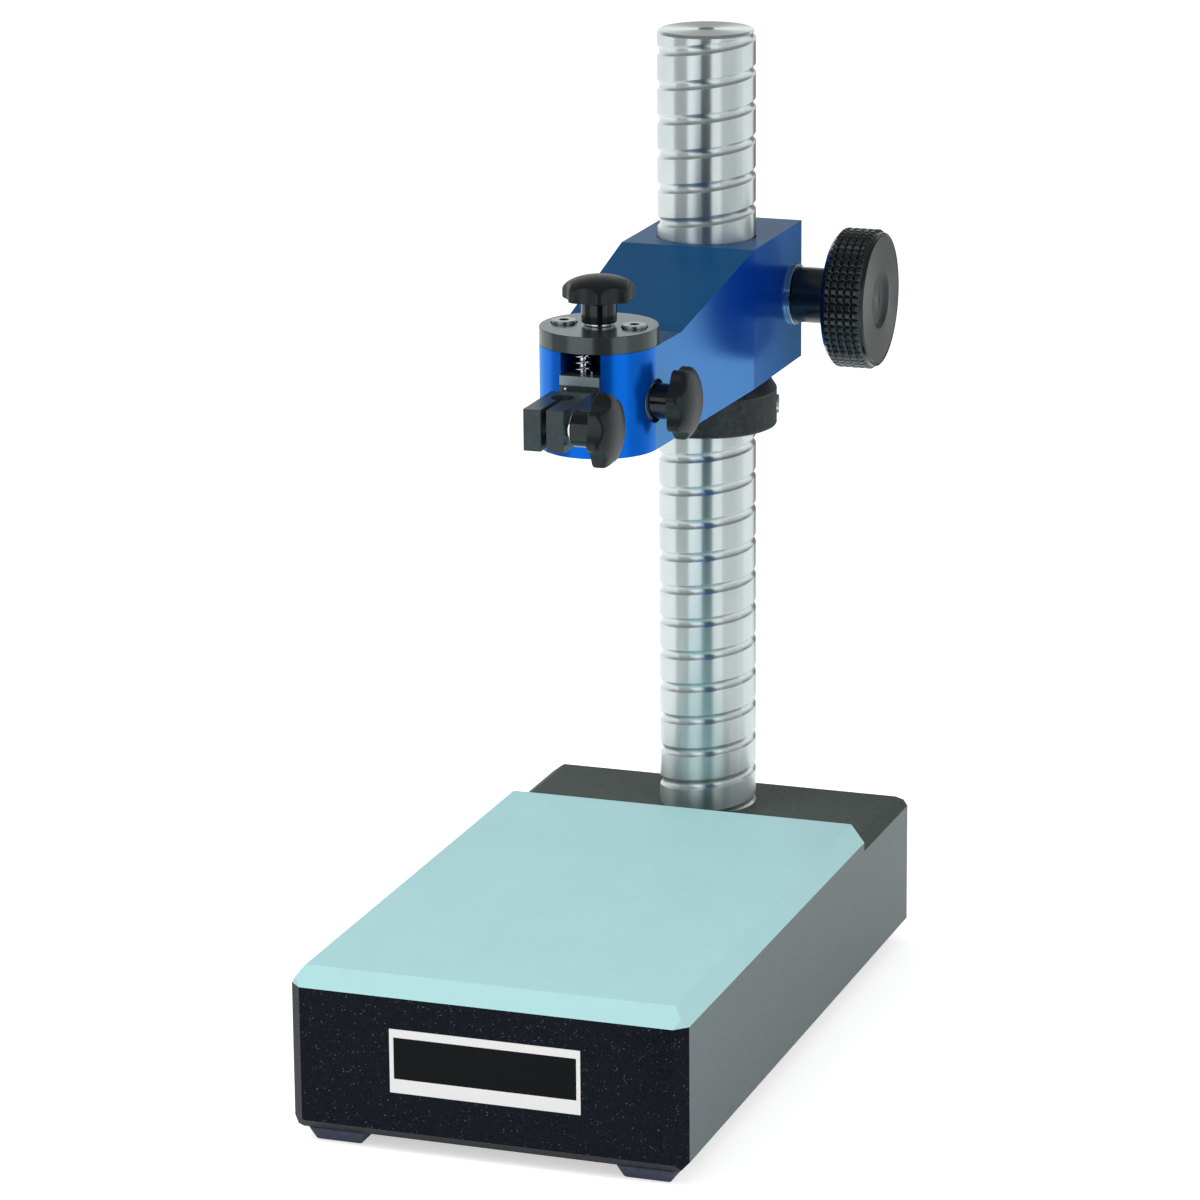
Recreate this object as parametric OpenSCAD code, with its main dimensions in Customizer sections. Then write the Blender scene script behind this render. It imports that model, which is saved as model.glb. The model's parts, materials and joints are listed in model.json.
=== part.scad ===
// Comparator stand: a granite base with a bright measuring plate, a grooved
// steel column, a height ring that climbs the column's groove, a clamped arm
// and, in the arm's head, a fine adjustment that carries the gauge holder.
// Units are millimetres. The front of the stand faces -Y.

/* [Base] */
// Width of the granite base
base_w = 138; // [120:1:160]
// Depth of the granite base, front to back
base_d = 262; // [240:1:300]
// Height of the granite base
base_h = 50; // [44:1:70]
// Cut across each upright corner of the base
corner_cut = 4.2; // [2:0.1:6]
// Bevel round the lower edge of the base
under_cut = 3.4; // [1:0.1:5]
// Width of the bevel round the rear ledge
ledge_cut_w = 4.5; // [2:0.1:6]
// Height of the bevel round the rear ledge
ledge_cut_h = 3.2; // [1:0.1:5]

/* [Measuring plate] */
// Depth of the measuring plate from the front face
plate_d = 202; // [170:1:205]
// Thickness of the measuring plate
plate_t = 6.5; // [4:0.5:12]
// Bevel at the plate's front and side edges
plate_cut = 4.8; // [2:0.1:8]

/* [Feet] */
// Height of a foot
foot_h = 5; // [3:0.5:10]
// Width of a foot where it meets the base
foot_top_w = 20.5; // [14:0.5:26]
// Width of a foot on the table
foot_low_w = 16; // [10:0.5:24]
// Foot centre from the side of the base
foot_side = 15; // [14:0.5:24]
// Foot centre from the front or rear of the base
foot_end = 13.5; // [13.5:0.5:24]

/* [Blank label] */
// Width of the blank label
label_w = 66.4; // [40:0.2:90]
// Height of the blank label
label_h = 22.2; // [14:0.2:30]
// Thickness of the label, and depth of its pocket
label_t = 0.4; // [0.2:0.1:1]
// Lower edge of the label above the granite's underside
label_up = 17; // [8:0.5:20]
// Width of the label's side borders
label_border = 1.4; // [0.8:0.1:3]
// Height of the label's upper border
label_head = 2.9; // [0.8:0.1:4]
// Height of the plain strip along the label's lower edge
label_strip = 4.8; // [0.8:0.1:7]
// Depth of the label's dark field below its border
label_sink = 0.15; // [0.05:0.05:0.15]

/* [Column] */
// Diameter of the column
col_d = 35; // [30:0.5:38]
// Column axis from the rear face of the base
col_back = 28.3; // [26:0.1:32]
// Height of the column above the ledge
col_above = 284; // [260:1:340]
// Depth of the column's socket in the granite
socket_depth = 20; // [12:1:24]
// Chamfer at the column's top edge
col_chamfer = 1; // [0.5:0.1:2]
// Pitch of the helical groove
groove_pitch = 12.2; // [10:0.1:14]
// Width of the groove at the column's surface
groove_w = 3.4; // [2.6:0.1:4.4]
// Depth of the groove
groove_depth = 0.9; // [0.7:0.05:1.2]
// How far the groove runs on below the ledge
groove_under = 8.5; // [5:0.5:10]
// Diameter of the tapped hole in the column's top
top_thread_d = 5; // [4:0.1:8]
// Depth of the tapped hole in the column's top
top_thread_depth = 14; // [8:1:20]

/* [Column bolt] */
// Thread diameter of the bolt that holds the column
bolt_d = 10; // [8:1:12]
// Depth that the bolt reaches into the column
bolt_grip = 18; // [12:1:24]
// Head diameter of the bolt
bolt_head_d = 16; // [14:0.5:20]
// Head height of the bolt
bolt_head_h = 10; // [6:0.5:11]
// Size across flats of the bolt's hexagon
bolt_hex = 8; // [6:0.5:10]
// Depth of the bolt's hexagon
bolt_hex_depth = 5; // [3:0.5:5]
// Outer diameter of the bolt's washer
bolt_washer_d = 28; // [24:1:32]
// Thickness of the bolt's washer
bolt_washer_t = 2.5; // [1.5:0.1:3]
// Gap between the bolt's head and the granite's underside
bolt_sink = 1.5; // [0.5:0.1:3]

/* [Height ring] */
// Diameter of the height ring
ring_d = 50; // [46:0.5:54]
// Height of the ring's knurled band
ring_band = 14; // [10:0.5:18]
// Height of the ring's shoulder above its band
ring_shoulder = 3; // [1:0.5:4]
// Step in from the band to the shoulder's top edge
ring_step = 2; // [1:0.1:2.5]
// Bevel at the ring's lower edge
ring_edge = 1; // [0.5:0.1:1.5]
// Direction in which the guide screw points, from +X
guide_angle = 19.5; // [0:0.5:40]
// Diameter of the guide screw
guide_d = 7; // [5:0.5:8]
// Length of the guide screw that stands out of the ring
guide_out = 0.8; // [0.4:0.1:1.5]
// Radius of the guide screw's blunt tip
guide_blunt = 0.1; // [0.1:0.05:0.3]
// Width of the guide screw's point as a share of the groove's
guide_slim = 0.8; // [0.6:0.05:0.9]
// Size across flats of the guide screw's hexagon
guide_hex = 3; // [2:0.5:4]
// Depth of the guide screw's hexagon
guide_hex_depth = 3; // [2:0.5:4]
// Outer diameter of the thrust washer
thrust_d = 44; // [40:0.5:45]
// Thickness of the thrust washer
thrust_t = 2; // [1:0.1:3]

/* [Arm] */
// Underside of the arm above the ledge, as drawn
arm_rise = 160.4; // [120:0.1:200]
// Height of the arm at the column
arm_h = 50; // [46:0.5:60]
// Width of the arm at the column
arm_w = 49; // [48:0.5:56]
// Arm's rear face from the column axis
arm_rear = 34.8; // [33:0.1:42]
// Start of the arm's slope, in front of the column axis
arm_brow = 21.7; // [20.5:0.1:26]
// Distance from the column axis to the head axis
arm_reach = 115.5; // [100:0.5:124]
// Diameter of the arm's head
head_d = 40.4; // [39:0.2:46]
// Height of the arm at its head
head_h = 35.5; // [34:0.5:44]
// End of the slope, behind the head axis
head_flat = 22.9; // [21:0.1:30]
// Width of the clamping slit behind the column
slit_w = 2.5; // [1.5:0.1:3]
// Chamfer at the mouths of the arm's bore
bore_chamfer = 0.6; // [0.3:0.1:1]

/* [Arm clamp] */
// Clamp screw behind the column axis
clamp_back = 26.8; // [26:0.1:28.5]
// Clamp screw above the arm's underside
clamp_up = 24.5; // [22:0.5:28]
// Thread diameter of the clamp screw
clamp_d = 8; // [6:0.5:10]
// Diameter of the clamp knob's rim
clamp_knob_d = 50; // [44:0.5:56]
// Width of the clamp knob's rim
clamp_rim_w = 16; // [12:0.5:20]
// Diameter of the clamp knob's hub
clamp_hub_d = 20; // [16:0.5:24]
// Length of the clamp knob's hub
clamp_hub_l = 15; // [10:0.5:20]
// Wall left at the end of the clamp screw's hole in the arm
clamp_wall = 5; // [3:0.5:8]
// Bevel of the clamp knob's rim, across the rim's faces
rim_bevel_r = 2; // [1:0.1:3]
// Bevel of the clamp knob's rim, along its axis
rim_bevel_w = 1.5; // [1:0.1:3]
// Number of teeth round the clamp knob
knurl_count = 56; // [40:1:72]
// Depth of the knurling
knurl_depth = 0.7; // [0.4:0.1:1]
// Width of the grooves that divide the knurling
row_groove = 1; // [0.6:0.1:1.4]
// Diameter of the recess in the knob's face
dish_d = 20; // [14:0.5:26]
// How much narrower the recess is at its bottom
dish_cone = 3; // [1:0.5:6]
// Depth of the recess in the knob's face
dish_depth = 2.5; // [1:0.1:4]
// Diameter of the clamp washer
clamp_washer_d = 22; // [20:0.5:26]
// Thickness of the clamp washer
clamp_washer_t = 1.2; // [0.8:0.1:2]

/* [Fine adjustment] */
// Diameter of the guide bore in the head
guide_bore_d = 17; // [15:0.1:17.4]
// Width of the slider's tongue
tongue_w = 14; // [12:0.1:14.4]
// Height of the slider
slider_h = 17.5; // [16.5:0.1:19]
// Front of the slider's tongue from the head axis
tongue_reach = 20.4; // [20:0.1:24]
// Floor of the guide bore above the arm's underside
guide_floor = 6; // [4:0.1:6.4]
// Slider's underside above the arm's underside, as drawn
slider_rise = 10.6; // [10.4:0.1:11.4]
// Thickness of the head disc
disc_t = 6; // [5:0.5:8]
// Thread diameter of the fine spindle
spindle_d = 4; // [3:0.5:4.5]
// Shank diameter of the fine spindle in the disc
shank_d = 5; // [5:0.5:6]
// Flange diameter under the disc
flange_d = 9; // [8:0.5:12]
// Flange thickness under the disc
flange_t = 1; // [0.8:0.1:1.2]
// Lower end of the spindle above the guide bore's floor
spindle_up = 6.5; // [6:0.1:8]
// Spring axis in front of the head axis
spring_reach = 15.8; // [15:0.1:16.4]
// Outer diameter of the spring
spring_d = 6.3; // [5.6:0.1:6.6]
// Diameter of the spring's wire
spring_wire = 0.7; // [0.5:0.05:0.9]
// Number of turns of the spring
spring_turns = 2.95; // [2:0.05:4]
// Diameter of the guide pin inside the spring
spring_pin_d = 3; // [2:0.1:3.4]
// Length of the guide pin in the slider
spring_pin_grip = 5; // [3:0.5:5]
// Length of the guide pin in the disc's pocket, as drawn
spring_pin_in = 1.9; // [1:0.1:2]
// Wall left in the disc above the guide pin's pocket
pin_roof = 1; // [0.8:0.1:1.2]
// Distance between the two disc screws
disc_screw_pitch = 25; // [24.5:0.1:26]
// Thread diameter of a disc screw
disc_screw_d = 5; // [4:0.5:5]
// Head diameter of a disc screw
disc_head_d = 8.5; // [8:0.1:9]
// Head height of a disc screw
disc_head_h = 3.5; // [2.5:0.1:4]
// Height of a screw head above the disc
disc_head_out = 1; // [0.1:0.1:1.5]
// Size across flats of a disc screw's hexagon
disc_hex = 3; // [2:0.5:4]
// Depth of a disc screw's hexagon
disc_hex_depth = 2; // [1:0.1:2]
// Length of a disc screw under its head
disc_screw_l = 14; // [10:0.5:18]

/* [Gauge holder] */
// Side of the holder's square section
holder_w = 14; // [12.5:0.1:14]
// Length of the holder's square bar
holder_l = 27; // [25:0.5:36]
// Gap between the slider and the bar, bridged by the neck
neck_l = 8; // [4:0.5:12]
// Width and height of the neck
neck_w = 11; // [9.5:0.5:11.5]
// Diameter of the tenon in the slider
tenon_d = 8; // [6:0.5:8.5]
// Length of the tenon in the slider
tenon_l = 7; // [5:0.5:8]
// Diameter of the gauge bore
gauge_d = 8; // [6:0.5:8.5]
// Gauge bore from the front of the holder
gauge_back = 19; // [18:0.5:20]
// Width of the slot between the jaws
jaw_slot = 2; // [1:0.1:2.4]
// Clamp screw axis from the front of the holder
jaw_screw_back = 7; // [5:0.1:8]
// Wall left at the end of the clamp screw's hole in the holder
jaw_wall = 1; // [0.6:0.1:3]
// Diameter of the pin above the neck
stop_pin_d = 1; // [0.8:0.1:1.2]
// Length of the pin in the slider
stop_pin_l = 6; // [4:0.5:8]
// Length of the pin that shows in front of the slider
stop_pin_out = 0.6; // [0.3:0.1:2]
// Pin's distance to the left of the centre
stop_pin_x = 4.6; // [3:0.1:5]

/* [Star knobs] */
// Diameter over the ridges
star_d = 25; // [22:0.5:28]
// Height of the ridged body
star_h = 8; // [7:0.5:10]
// Diameter of the hub
star_hub_d = 12; // [10:0.5:14]
// Height of the hub
star_hub_h = 8; // [6:0.5:12]
// Number of ridges
star_ridges = 7; // [5:1:9]
// Radius of the hollow between two ridges
notch_r = 7.6; // [5:0.1:8]
// Depth of that hollow
notch_depth = 2; // [1:0.1:3]
// Height of the body's upright wall below its dome
star_wall = 2.8; // [1.5:0.1:4]
// Bevel at the body's lower edge
star_edge = 0.6; // [0.3:0.1:1.2]
// Direction of one ridge of the fine knob as drawn, from +X
fine_ridge = -70.5; // [-90:0.5:-39]
// Lean of one ridge of the holder knob as drawn, from +Z to the front
holder_ridge = 1.2; // [0:0.1:51]
// Lean of one ridge of the lock knob as drawn, from +Z to the front
lock_ridge = 21.8; // [0:0.1:51]
// Thread diameter of the lock and holder screws
star_screw_d = 5; // [4:0.5:5.5]
// Depth of the screw's hole in a star knob
star_grip = 9; // [6:0.5:12]
// Diameter of the washers under the star knobs
star_washer_d = 10; // [9:0.1:14]
// Thickness of the washer under the fine knob
fine_washer_t = 1; // [0.6:0.1:1.4]
// Thickness of the washer under the holder knob
holder_washer_t = 1.4; // [0.6:0.1:2]
// Diameter of the lock knob's spot face in the head
spot_d = 15; // [13:0.5:16]
// Spot face from the head axis
spot_x = 18; // [17:0.1:18.6]
// Gap between the spot face and the lock knob's hub
lock_gap = 1.2; // [0.8:0.1:2]
// Lock screw above the arm's underside
lock_up = 16.8; // [16.4:0.1:18]

/* [Clearances] */
// Radial clearance of parts that turn or slide on each other
run_gap = 0.05; // [0.02:0.01:0.08]
// Radial clearance of bonded and screwed joints
seat_gap = 0.05; // [0.02:0.01:0.1]
// Radial clearance of screws in plain holes
loose_gap = 0.4; // [0.3:0.05:0.5]
// Gap between a screw's free tip and what it can press on
tip_gap = 0.3; // [0.2:0.05:0.5]
// Space left beyond the end of a screw or tenon in its hole
end_gap = 0.5; // [0.2:0.1:1]

/* [Hidden] */
$fn = 96;

// Small overlap of a cutting tool with the space outside a solid
past = 1;

// The origin is the middle of the whole stand's outline, on the table
overhang = max(0, arm_rear - col_back, clamp_back + clamp_knob_d / 2 - col_back);
front_y = -(base_d + overhang) / 2;
rear_y = front_y + base_d;
col_y = rear_y - col_back;
plate_y = front_y + plate_d;

ledge_z = foot_h + base_h;
col_bottom_z = ledge_z - socket_depth;
col_top_z = ledge_z + col_above;
bolt_washer_z = foot_h + bolt_sink + bolt_head_h;
bolt_pocket_d = bolt_washer_d + 2 * loose_gap;

arm_z = ledge_z + arm_rise;
thrust_z = arm_z - thrust_t;
ring_h = ring_band + ring_shoulder;
ring_z = thrust_z - ring_h;
guide_z = ring_z + ring_band / 2;

col_bore_d = col_d + 2 * run_gap;
arm_half = arm_w / 2;
head_r = head_d / 2;
head_y = col_y - arm_reach;
head_z = arm_z + head_h;
arm_top_z = arm_z + arm_h;
arm_rear_y = col_y + arm_rear;
brow_y = col_y - arm_brow;
slope_end_y = head_y + head_flat;
clamp_y = col_y + clamp_back;
clamp_z = arm_z + clamp_up;
clamp_seat_x = arm_half + clamp_washer_t;

disc_z = head_z + disc_t;
guide_floor_z = arm_z + guide_floor;
slider_z = arm_z + slider_rise;
slider_top_z = slider_z + slider_h;
tongue_y = head_y - tongue_reach;
slot_w = tongue_w + 2 * run_gap;
knob_z = disc_z + fine_washer_t;
spring_y = head_y - spring_reach;
spring_gap = 0.1;
spring_low_z = slider_top_z + spring_gap;
spring_high_z = head_z - spring_gap;

holder_rear_y = tongue_y - neck_l;
holder_front_y = holder_rear_y - holder_l;
gauge_y = holder_front_y + gauge_back;
jaw_screw_y = holder_front_y + jaw_screw_back;
holder_mid_z = slider_z + holder_w / 2;
neck_top_z = holder_mid_z + neck_w / 2;
pin_gap = 0.1;
stop_pin_z = neck_top_z + pin_gap + stop_pin_d / 2;
lock_z = arm_z + lock_up;
lock_hub_x = spot_x + lock_gap;

// A rectangle whose four corners are cut off
module cut_rectangle(w, d, c) {
  polygon([[c - w / 2, -d / 2], [w / 2 - c, -d / 2], [w / 2, c - d / 2],
    [w / 2, d / 2 - c], [w / 2 - c, d / 2], [c - w / 2, d / 2],
    [-w / 2, d / 2 - c], [-w / 2, c - d / 2]]);
}

// Extrudes an outline of X and Z points along Y, from y0 to y1
module along_y(y0, y1) {
  translate([0, y1, 0]) rotate([90, 0, 0]) linear_extrude(y1 - y0) children();
}

// Extrudes an outline of Y and Z points along X, from x0 to x1
module along_x(x0, x1) {
  translate([x0, 0, 0]) rotate([90, 0, 90]) linear_extrude(x1 - x0) children();
}

// A cylinder along +X that starts at x
module rod_x(x, y, z, d, l) {
  translate([x, y, z]) rotate([0, 90, 0]) cylinder(d = d, h = l);
}

// A flat ring
module washer(d, hole, t) {
  difference() {
    cylinder(d = d, h = t);
    translate([0, 0, -past]) cylinder(d = hole, h = t + 2 * past);
  }
}

// A hexagon socket, size across flats, that opens upwards at the origin
module hex_socket(across, depth) {
  translate([0, 0, -depth]) cylinder(d = across / cos(30), h = depth + past, $fn = 6);
}

// Granite block with bevelled edges, the column's socket and the label's pocket
module granite_base() {
  color([0.11, 0.12, 0.15])
  difference() {
    intersection() {
      translate([0, front_y + base_d / 2, foot_h])
        linear_extrude(base_h) cut_rectangle(base_w, base_d, corner_cut);
      along_y(front_y - past, rear_y + past) granite_front();
      along_x(-base_w / 2 - past, base_w / 2 + past) granite_side();
    }
    for (side = [-1, 1]) along_y(plate_y, rear_y + past) ledge_wedge(side);
    translate([0, col_y, col_bottom_z])
      cylinder(d = col_d + 2 * seat_gap, h = socket_depth + past);
    translate([0, col_y, foot_h]) cylinder(d = bolt_d + 2 * loose_gap, h = base_h);
    translate([0, col_y, foot_h - past])
      cylinder(d = bolt_pocket_d, h = bolt_washer_z + bolt_washer_t - foot_h + past);
    translate([-label_w / 2 - seat_gap, front_y - past, foot_h + label_up - seat_gap])
      cube([label_w + 2 * seat_gap, label_t + past, label_h + 2 * seat_gap]);
  }
}

// Front outline of the granite: width and the lower bevel
module granite_front() {
  w = base_w / 2;
  polygon([[under_cut - w, foot_h], [w - under_cut, foot_h], [w, foot_h + under_cut],
    [w, ledge_z], [-w, ledge_z], [-w, foot_h + under_cut]]);
}

// Side outline of the granite: depth, the lower bevel and the rear ledge's bevel
module granite_side() {
  polygon([[front_y + under_cut, foot_h], [rear_y - under_cut, foot_h],
    [rear_y, foot_h + under_cut], [rear_y, ledge_z - ledge_cut_h],
    [rear_y - ledge_cut_w, ledge_z], [front_y, ledge_z], [front_y, foot_h + under_cut]]);
}

// What the bevel takes off one side of the ledge
module ledge_wedge(side) {
  w = base_w / 2;
  polygon([[side * (w - ledge_cut_w), ledge_z], [side * w, ledge_z - ledge_cut_h],
    [side * (w + past), ledge_z - ledge_cut_h], [side * (w + past), ledge_z + past],
    [side * (w - ledge_cut_w), ledge_z + past]]);
}

// Bright measuring plate, bonded on the granite, bevelled at front and sides
module measuring_plate() {
  w = base_w / 2;
  top = ledge_z + plate_t;
  color([0.66, 0.83, 0.85])
  intersection() {
    translate([0, 0, ledge_z]) linear_extrude(plate_t)
      polygon([[-w, plate_y], [-w, front_y + corner_cut], [corner_cut - w, front_y],
        [w - corner_cut, front_y], [w, front_y + corner_cut], [w, plate_y]]);
    along_y(front_y - past, plate_y + past)
      polygon([[-w, ledge_z], [w, ledge_z], [w - plate_cut, top], [plate_cut - w, top]]);
    along_x(-w - past, w + past)
      polygon([[front_y, ledge_z], [plate_y, ledge_z], [plate_y, top],
        [front_y + plate_cut, top]]);
  }
}

// Four tapered rubber feet
module rubber_feet() {
  color([0.22, 0.25, 0.33])
  for (x = [-1, 1], y = [front_y + foot_end, rear_y - foot_end])
    translate([x * (base_w / 2 - foot_side), y, 0])
      linear_extrude(foot_h, scale = foot_top_w / foot_low_w)
        square(foot_low_w, center = true);
}

// Blank label: a thin bordered plate that lies flush in its pocket
module blank_label() {
  color([0.93, 0.93, 0.93])
  difference() {
    translate([-label_w / 2, front_y, foot_h + label_up])
      cube([label_w, label_t, label_h]);
    translate([label_border - label_w / 2, front_y - past, foot_h + label_up + label_strip])
      cube([label_w - 2 * label_border, label_sink + past, label_h - label_strip - label_head]);
  }
}

// The helical groove: a V section swept up the column, right-handed, so that
// its middle meets the guide screw at the ring's drawn height. The section
// runs out past the column's surface by groove_past
groove_steps = 20;
groove_past = 0.6;
groove_r = col_d / 2 - groove_depth;
groove_mouth_r = col_d / 2 + groove_past;
groove_mouth_w = groove_w * (groove_mouth_r - groove_r) / groove_depth;
groove_first = floor((ledge_z - groove_under - guide_z) / groove_pitch * groove_steps);
groove_last = ceil((col_top_z + groove_pitch - guide_z) / groove_pitch * groove_steps);
groove_count = groove_last - groove_first;

function groove_section(i) =
  let (a = guide_angle + 360 * i / groove_steps, z = guide_z + groove_pitch * i / groove_steps)
  [[groove_r * cos(a), groove_r * sin(a), z],
    [groove_mouth_r * cos(a), groove_mouth_r * sin(a), z + groove_mouth_w / 2],
    [groove_mouth_r * cos(a), groove_mouth_r * sin(a), z - groove_mouth_w / 2]];

// Faces of a swept triangular tube with the given number of steps
function tube_faces(steps, sides) = concat(
  [[for (j = [0 : sides - 1]) j]],
  [for (i = [0 : steps - 1], j = [0 : sides - 1])
    let (k = (j + 1) % sides) [i * sides + j, (i + 1) * sides + j, (i + 1) * sides + k]],
  [for (i = [0 : steps - 1], j = [0 : sides - 1])
    let (k = (j + 1) % sides) [i * sides + j, (i + 1) * sides + k, i * sides + k]],
  [[for (j = [sides - 1 : -1 : 0]) steps * sides + j]]);

module groove() {
  translate([0, col_y, 0])
    polyhedron([for (i = [groove_first : groove_last]) each groove_section(i)],
      tube_faces(groove_count, 3), convexity = 10);
}

// Ground steel column with its groove, a tapped centre hole above and a bolt thread below
module column() {
  length = col_top_z - col_bottom_z;
  color([0.78, 0.79, 0.8])
  difference() {
    translate([0, col_y, col_bottom_z]) {
      cylinder(d = col_d, h = length - col_chamfer);
      translate([0, 0, length - col_chamfer])
        cylinder(d1 = col_d, d2 = col_d - 2 * col_chamfer, h = col_chamfer);
    }
    groove();
    translate([0, col_y, col_top_z - top_thread_depth])
      cylinder(d = top_thread_d, h = top_thread_depth + past);
    translate([0, col_y, col_bottom_z - past])
      cylinder(d = bolt_d + 2 * seat_gap, h = bolt_grip + 2 * past);
  }
}

// Socket-head bolt that draws the column into its socket
module column_bolt() {
  under = foot_h + bolt_sink;
  seat = bolt_washer_z;
  color([0.3, 0.31, 0.33])
  difference() {
    translate([0, col_y, under]) {
      cylinder(d = bolt_head_d, h = bolt_head_h);
      cylinder(d = bolt_d, h = col_bottom_z + bolt_grip - under);
    }
    translate([0, col_y, under]) rotate([180, 0, 0]) hex_socket(bolt_hex, bolt_hex_depth);
  }
}

module column_washer() {
  color([0.7, 0.71, 0.73])
  translate([0, col_y, bolt_washer_z])
    washer(bolt_washer_d, bolt_d + 2 * loose_gap, bolt_washer_t);
}

// Black ring that climbs the groove and carries the arm
module height_ring() {
  r = ring_d / 2;
  bore = col_bore_d / 2;
  color([0.09, 0.09, 0.1])
  difference() {
    translate([0, col_y, ring_z]) rotate_extrude()
      polygon([[bore, 0], [r - ring_edge, 0], [r, ring_edge], [r, ring_band],
        [r - ring_step, ring_h], [bore, ring_h]]);
    guide_axis() cylinder(d = guide_d + 2 * seat_gap, h = ring_d);
  }
}

// Puts +Z of its children along the guide screw, with the origin on the column's axis
module guide_axis() {
  translate([0, col_y, guide_z]) rotate([0, 90, guide_angle]) children();
}

// Pointed screw in the ring whose tip runs in the groove, a little more slender
// than the groove itself
module guide_screw() {
  out = ring_d / 2 + guide_out;
  start = col_d / 2 + tip_gap;
  reach = groove_r + tip_gap;
  slope = guide_slim * groove_w / 2 / groove_depth;
  color([0.45, 0.46, 0.48])
  difference() {
    guide_axis() {
      translate([0, 0, start]) cylinder(d = guide_d, h = out - start);
      translate([0, 0, reach])
        cylinder(r1 = guide_blunt, r2 = guide_blunt + slope * (start - reach), h = start - reach);
    }
    guide_axis() translate([0, 0, out]) hex_socket(guide_hex, guide_hex_depth);
  }
}

module thrust_washer() {
  color([0.8, 0.81, 0.82])
  translate([0, col_y, thrust_z]) washer(thrust_d, col_bore_d, thrust_t);
}

// Plan of the arm: square behind, its sides tangent to the round head
module arm_plan() {
  dx = arm_half;
  dy = brow_y - head_y;
  far = sqrt(dx * dx + dy * dy);
  // Direction from the head's centre to the point where the side touches it
  touch = atan2(dy, dx) - acos(head_r / far);
  tx = head_r * cos(touch);
  ty = head_y + head_r * sin(touch);
  translate([0, head_y]) circle(r = head_r);
  polygon([[-arm_half, arm_rear_y], [-arm_half, brow_y], [-tx, ty], [tx, ty],
    [arm_half, brow_y], [arm_half, arm_rear_y]]);
}

// Side of the arm: full height at the column, sloping to the lower head
module arm_side() {
  front = head_y - head_r - past;
  polygon([[front, arm_z], [arm_rear_y + past, arm_z], [arm_rear_y + past, arm_top_z],
    [brow_y, arm_top_z], [slope_end_y, head_z], [front, head_z]]);
}

// Blue arm with its column bore, clamping slit, guide bore and screw holes
module arm() {
  color([0.07, 0.24, 0.55])
  difference() {
    intersection() {
      translate([0, 0, arm_z]) linear_extrude(arm_h) arm_plan();
      along_x(-arm_w, arm_w) arm_side();
    }
    translate([0, col_y, arm_z - past]) cylinder(d = col_bore_d, h = arm_h + 2 * past);
    for (end = [0, 1]) translate([0, col_y, end == 0 ? arm_z : arm_top_z])
      bore_mouth(end == 0 ? 1 : -1);
    translate([-slit_w / 2, col_y, arm_z - past])
      cube([slit_w, arm_rear + past, arm_h + 2 * past]);
    rod_x(0, clamp_y, clamp_z, clamp_d + 2 * loose_gap, arm_w);
    rod_x(clamp_wall - arm_half, clamp_y, clamp_z, clamp_d + 2 * seat_gap, arm_half);
    translate([0, head_y, guide_floor_z]) cylinder(d = guide_bore_d, h = head_h);
    translate([-slot_w / 2, head_y - head_r - past, guide_floor_z])
      cube([slot_w, head_r + past, head_h]);
    disc_screw_places() translate([0, 0, head_z - disc_t - disc_screw_l])
      cylinder(d = disc_screw_d + 2 * seat_gap, h = head_h);
    rod_x(0, head_y, lock_z, star_screw_d + 2 * seat_gap, arm_w);
    rod_x(spot_x, head_y, lock_z, spot_d, arm_w);
  }
}

// Chamfer at one mouth of the arm's bore; up is 1 for the lower mouth
module bore_mouth(up) {
  mirror([0, 0, up > 0 ? 0 : 1]) translate([0, 0, -past])
    cylinder(d1 = col_bore_d + 2 * (bore_chamfer + past), d2 = col_bore_d,
      h = bore_chamfer + past);
}

module disc_screw_places() {
  for (side = [-1, 1]) translate([side * disc_screw_pitch / 2, head_y, 0]) children();
}

// Outline of the clamp knob's rim, with a tooth for each knurl: of each pitch,
// the root and the two flanks take the shares knurl_root and knurl_flank
knurl_root = 0.32;
knurl_flank = 0.18;

module knurl_outline(d, count, depth) {
  tooth = [[0, 0], [knurl_root, 0], [knurl_root + knurl_flank, depth], [1 - knurl_flank, depth]];
  polygon([for (i = [0 : count - 1], s = tooth)
    let (a = 360 * (i + s[0]) / count, r = d / 2 - depth + s[1]) [r * cos(a), r * sin(a)]]);
}

// Black knurled hand knob that closes the arm's slit
module clamp_knob() {
  rows = floor(clamp_rim_w / (PI * clamp_knob_d / knurl_count));
  row = clamp_rim_w / (rows + 1);
  r = clamp_knob_d / 2;
  color([0.09, 0.09, 0.1])
  translate([clamp_seat_x, clamp_y, clamp_z]) rotate([0, 90, 0])
  difference() {
    union() {
      cylinder(d = clamp_hub_d, h = clamp_hub_l + past);
      translate([0, 0, clamp_hub_l]) intersection() {
        linear_extrude(clamp_rim_w) knurl_outline(clamp_knob_d, knurl_count, knurl_depth);
        rotate_extrude() polygon([[0, 0], [r - rim_bevel_r, 0], [r, rim_bevel_w],
          [r, clamp_rim_w - rim_bevel_w], [r - rim_bevel_r, clamp_rim_w], [0, clamp_rim_w]]);
      }
    }
    for (i = [1 : rows]) translate([0, 0, clamp_hub_l + i * row - row_groove / 2])
      washer(clamp_knob_d + 2 * past, clamp_knob_d - 2 * knurl_depth, row_groove);
    translate([0, 0, clamp_hub_l + clamp_rim_w - dish_depth])
      cylinder(d1 = dish_d - dish_cone, d2 = dish_d + dish_cone * past / dish_depth,
        h = dish_depth + past);
    translate([0, 0, -past]) cylinder(d = clamp_d + 2 * seat_gap, h = clamp_hub_l + past);
  }
}

// Steel stud of the clamp knob, through the slit into the arm's far side
module clamp_screw() {
  start = clamp_wall + end_gap - arm_half;
  color([0.7, 0.71, 0.73])
  rod_x(start, clamp_y, clamp_z, clamp_d, clamp_seat_x + clamp_hub_l - end_gap - start);
}

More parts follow.
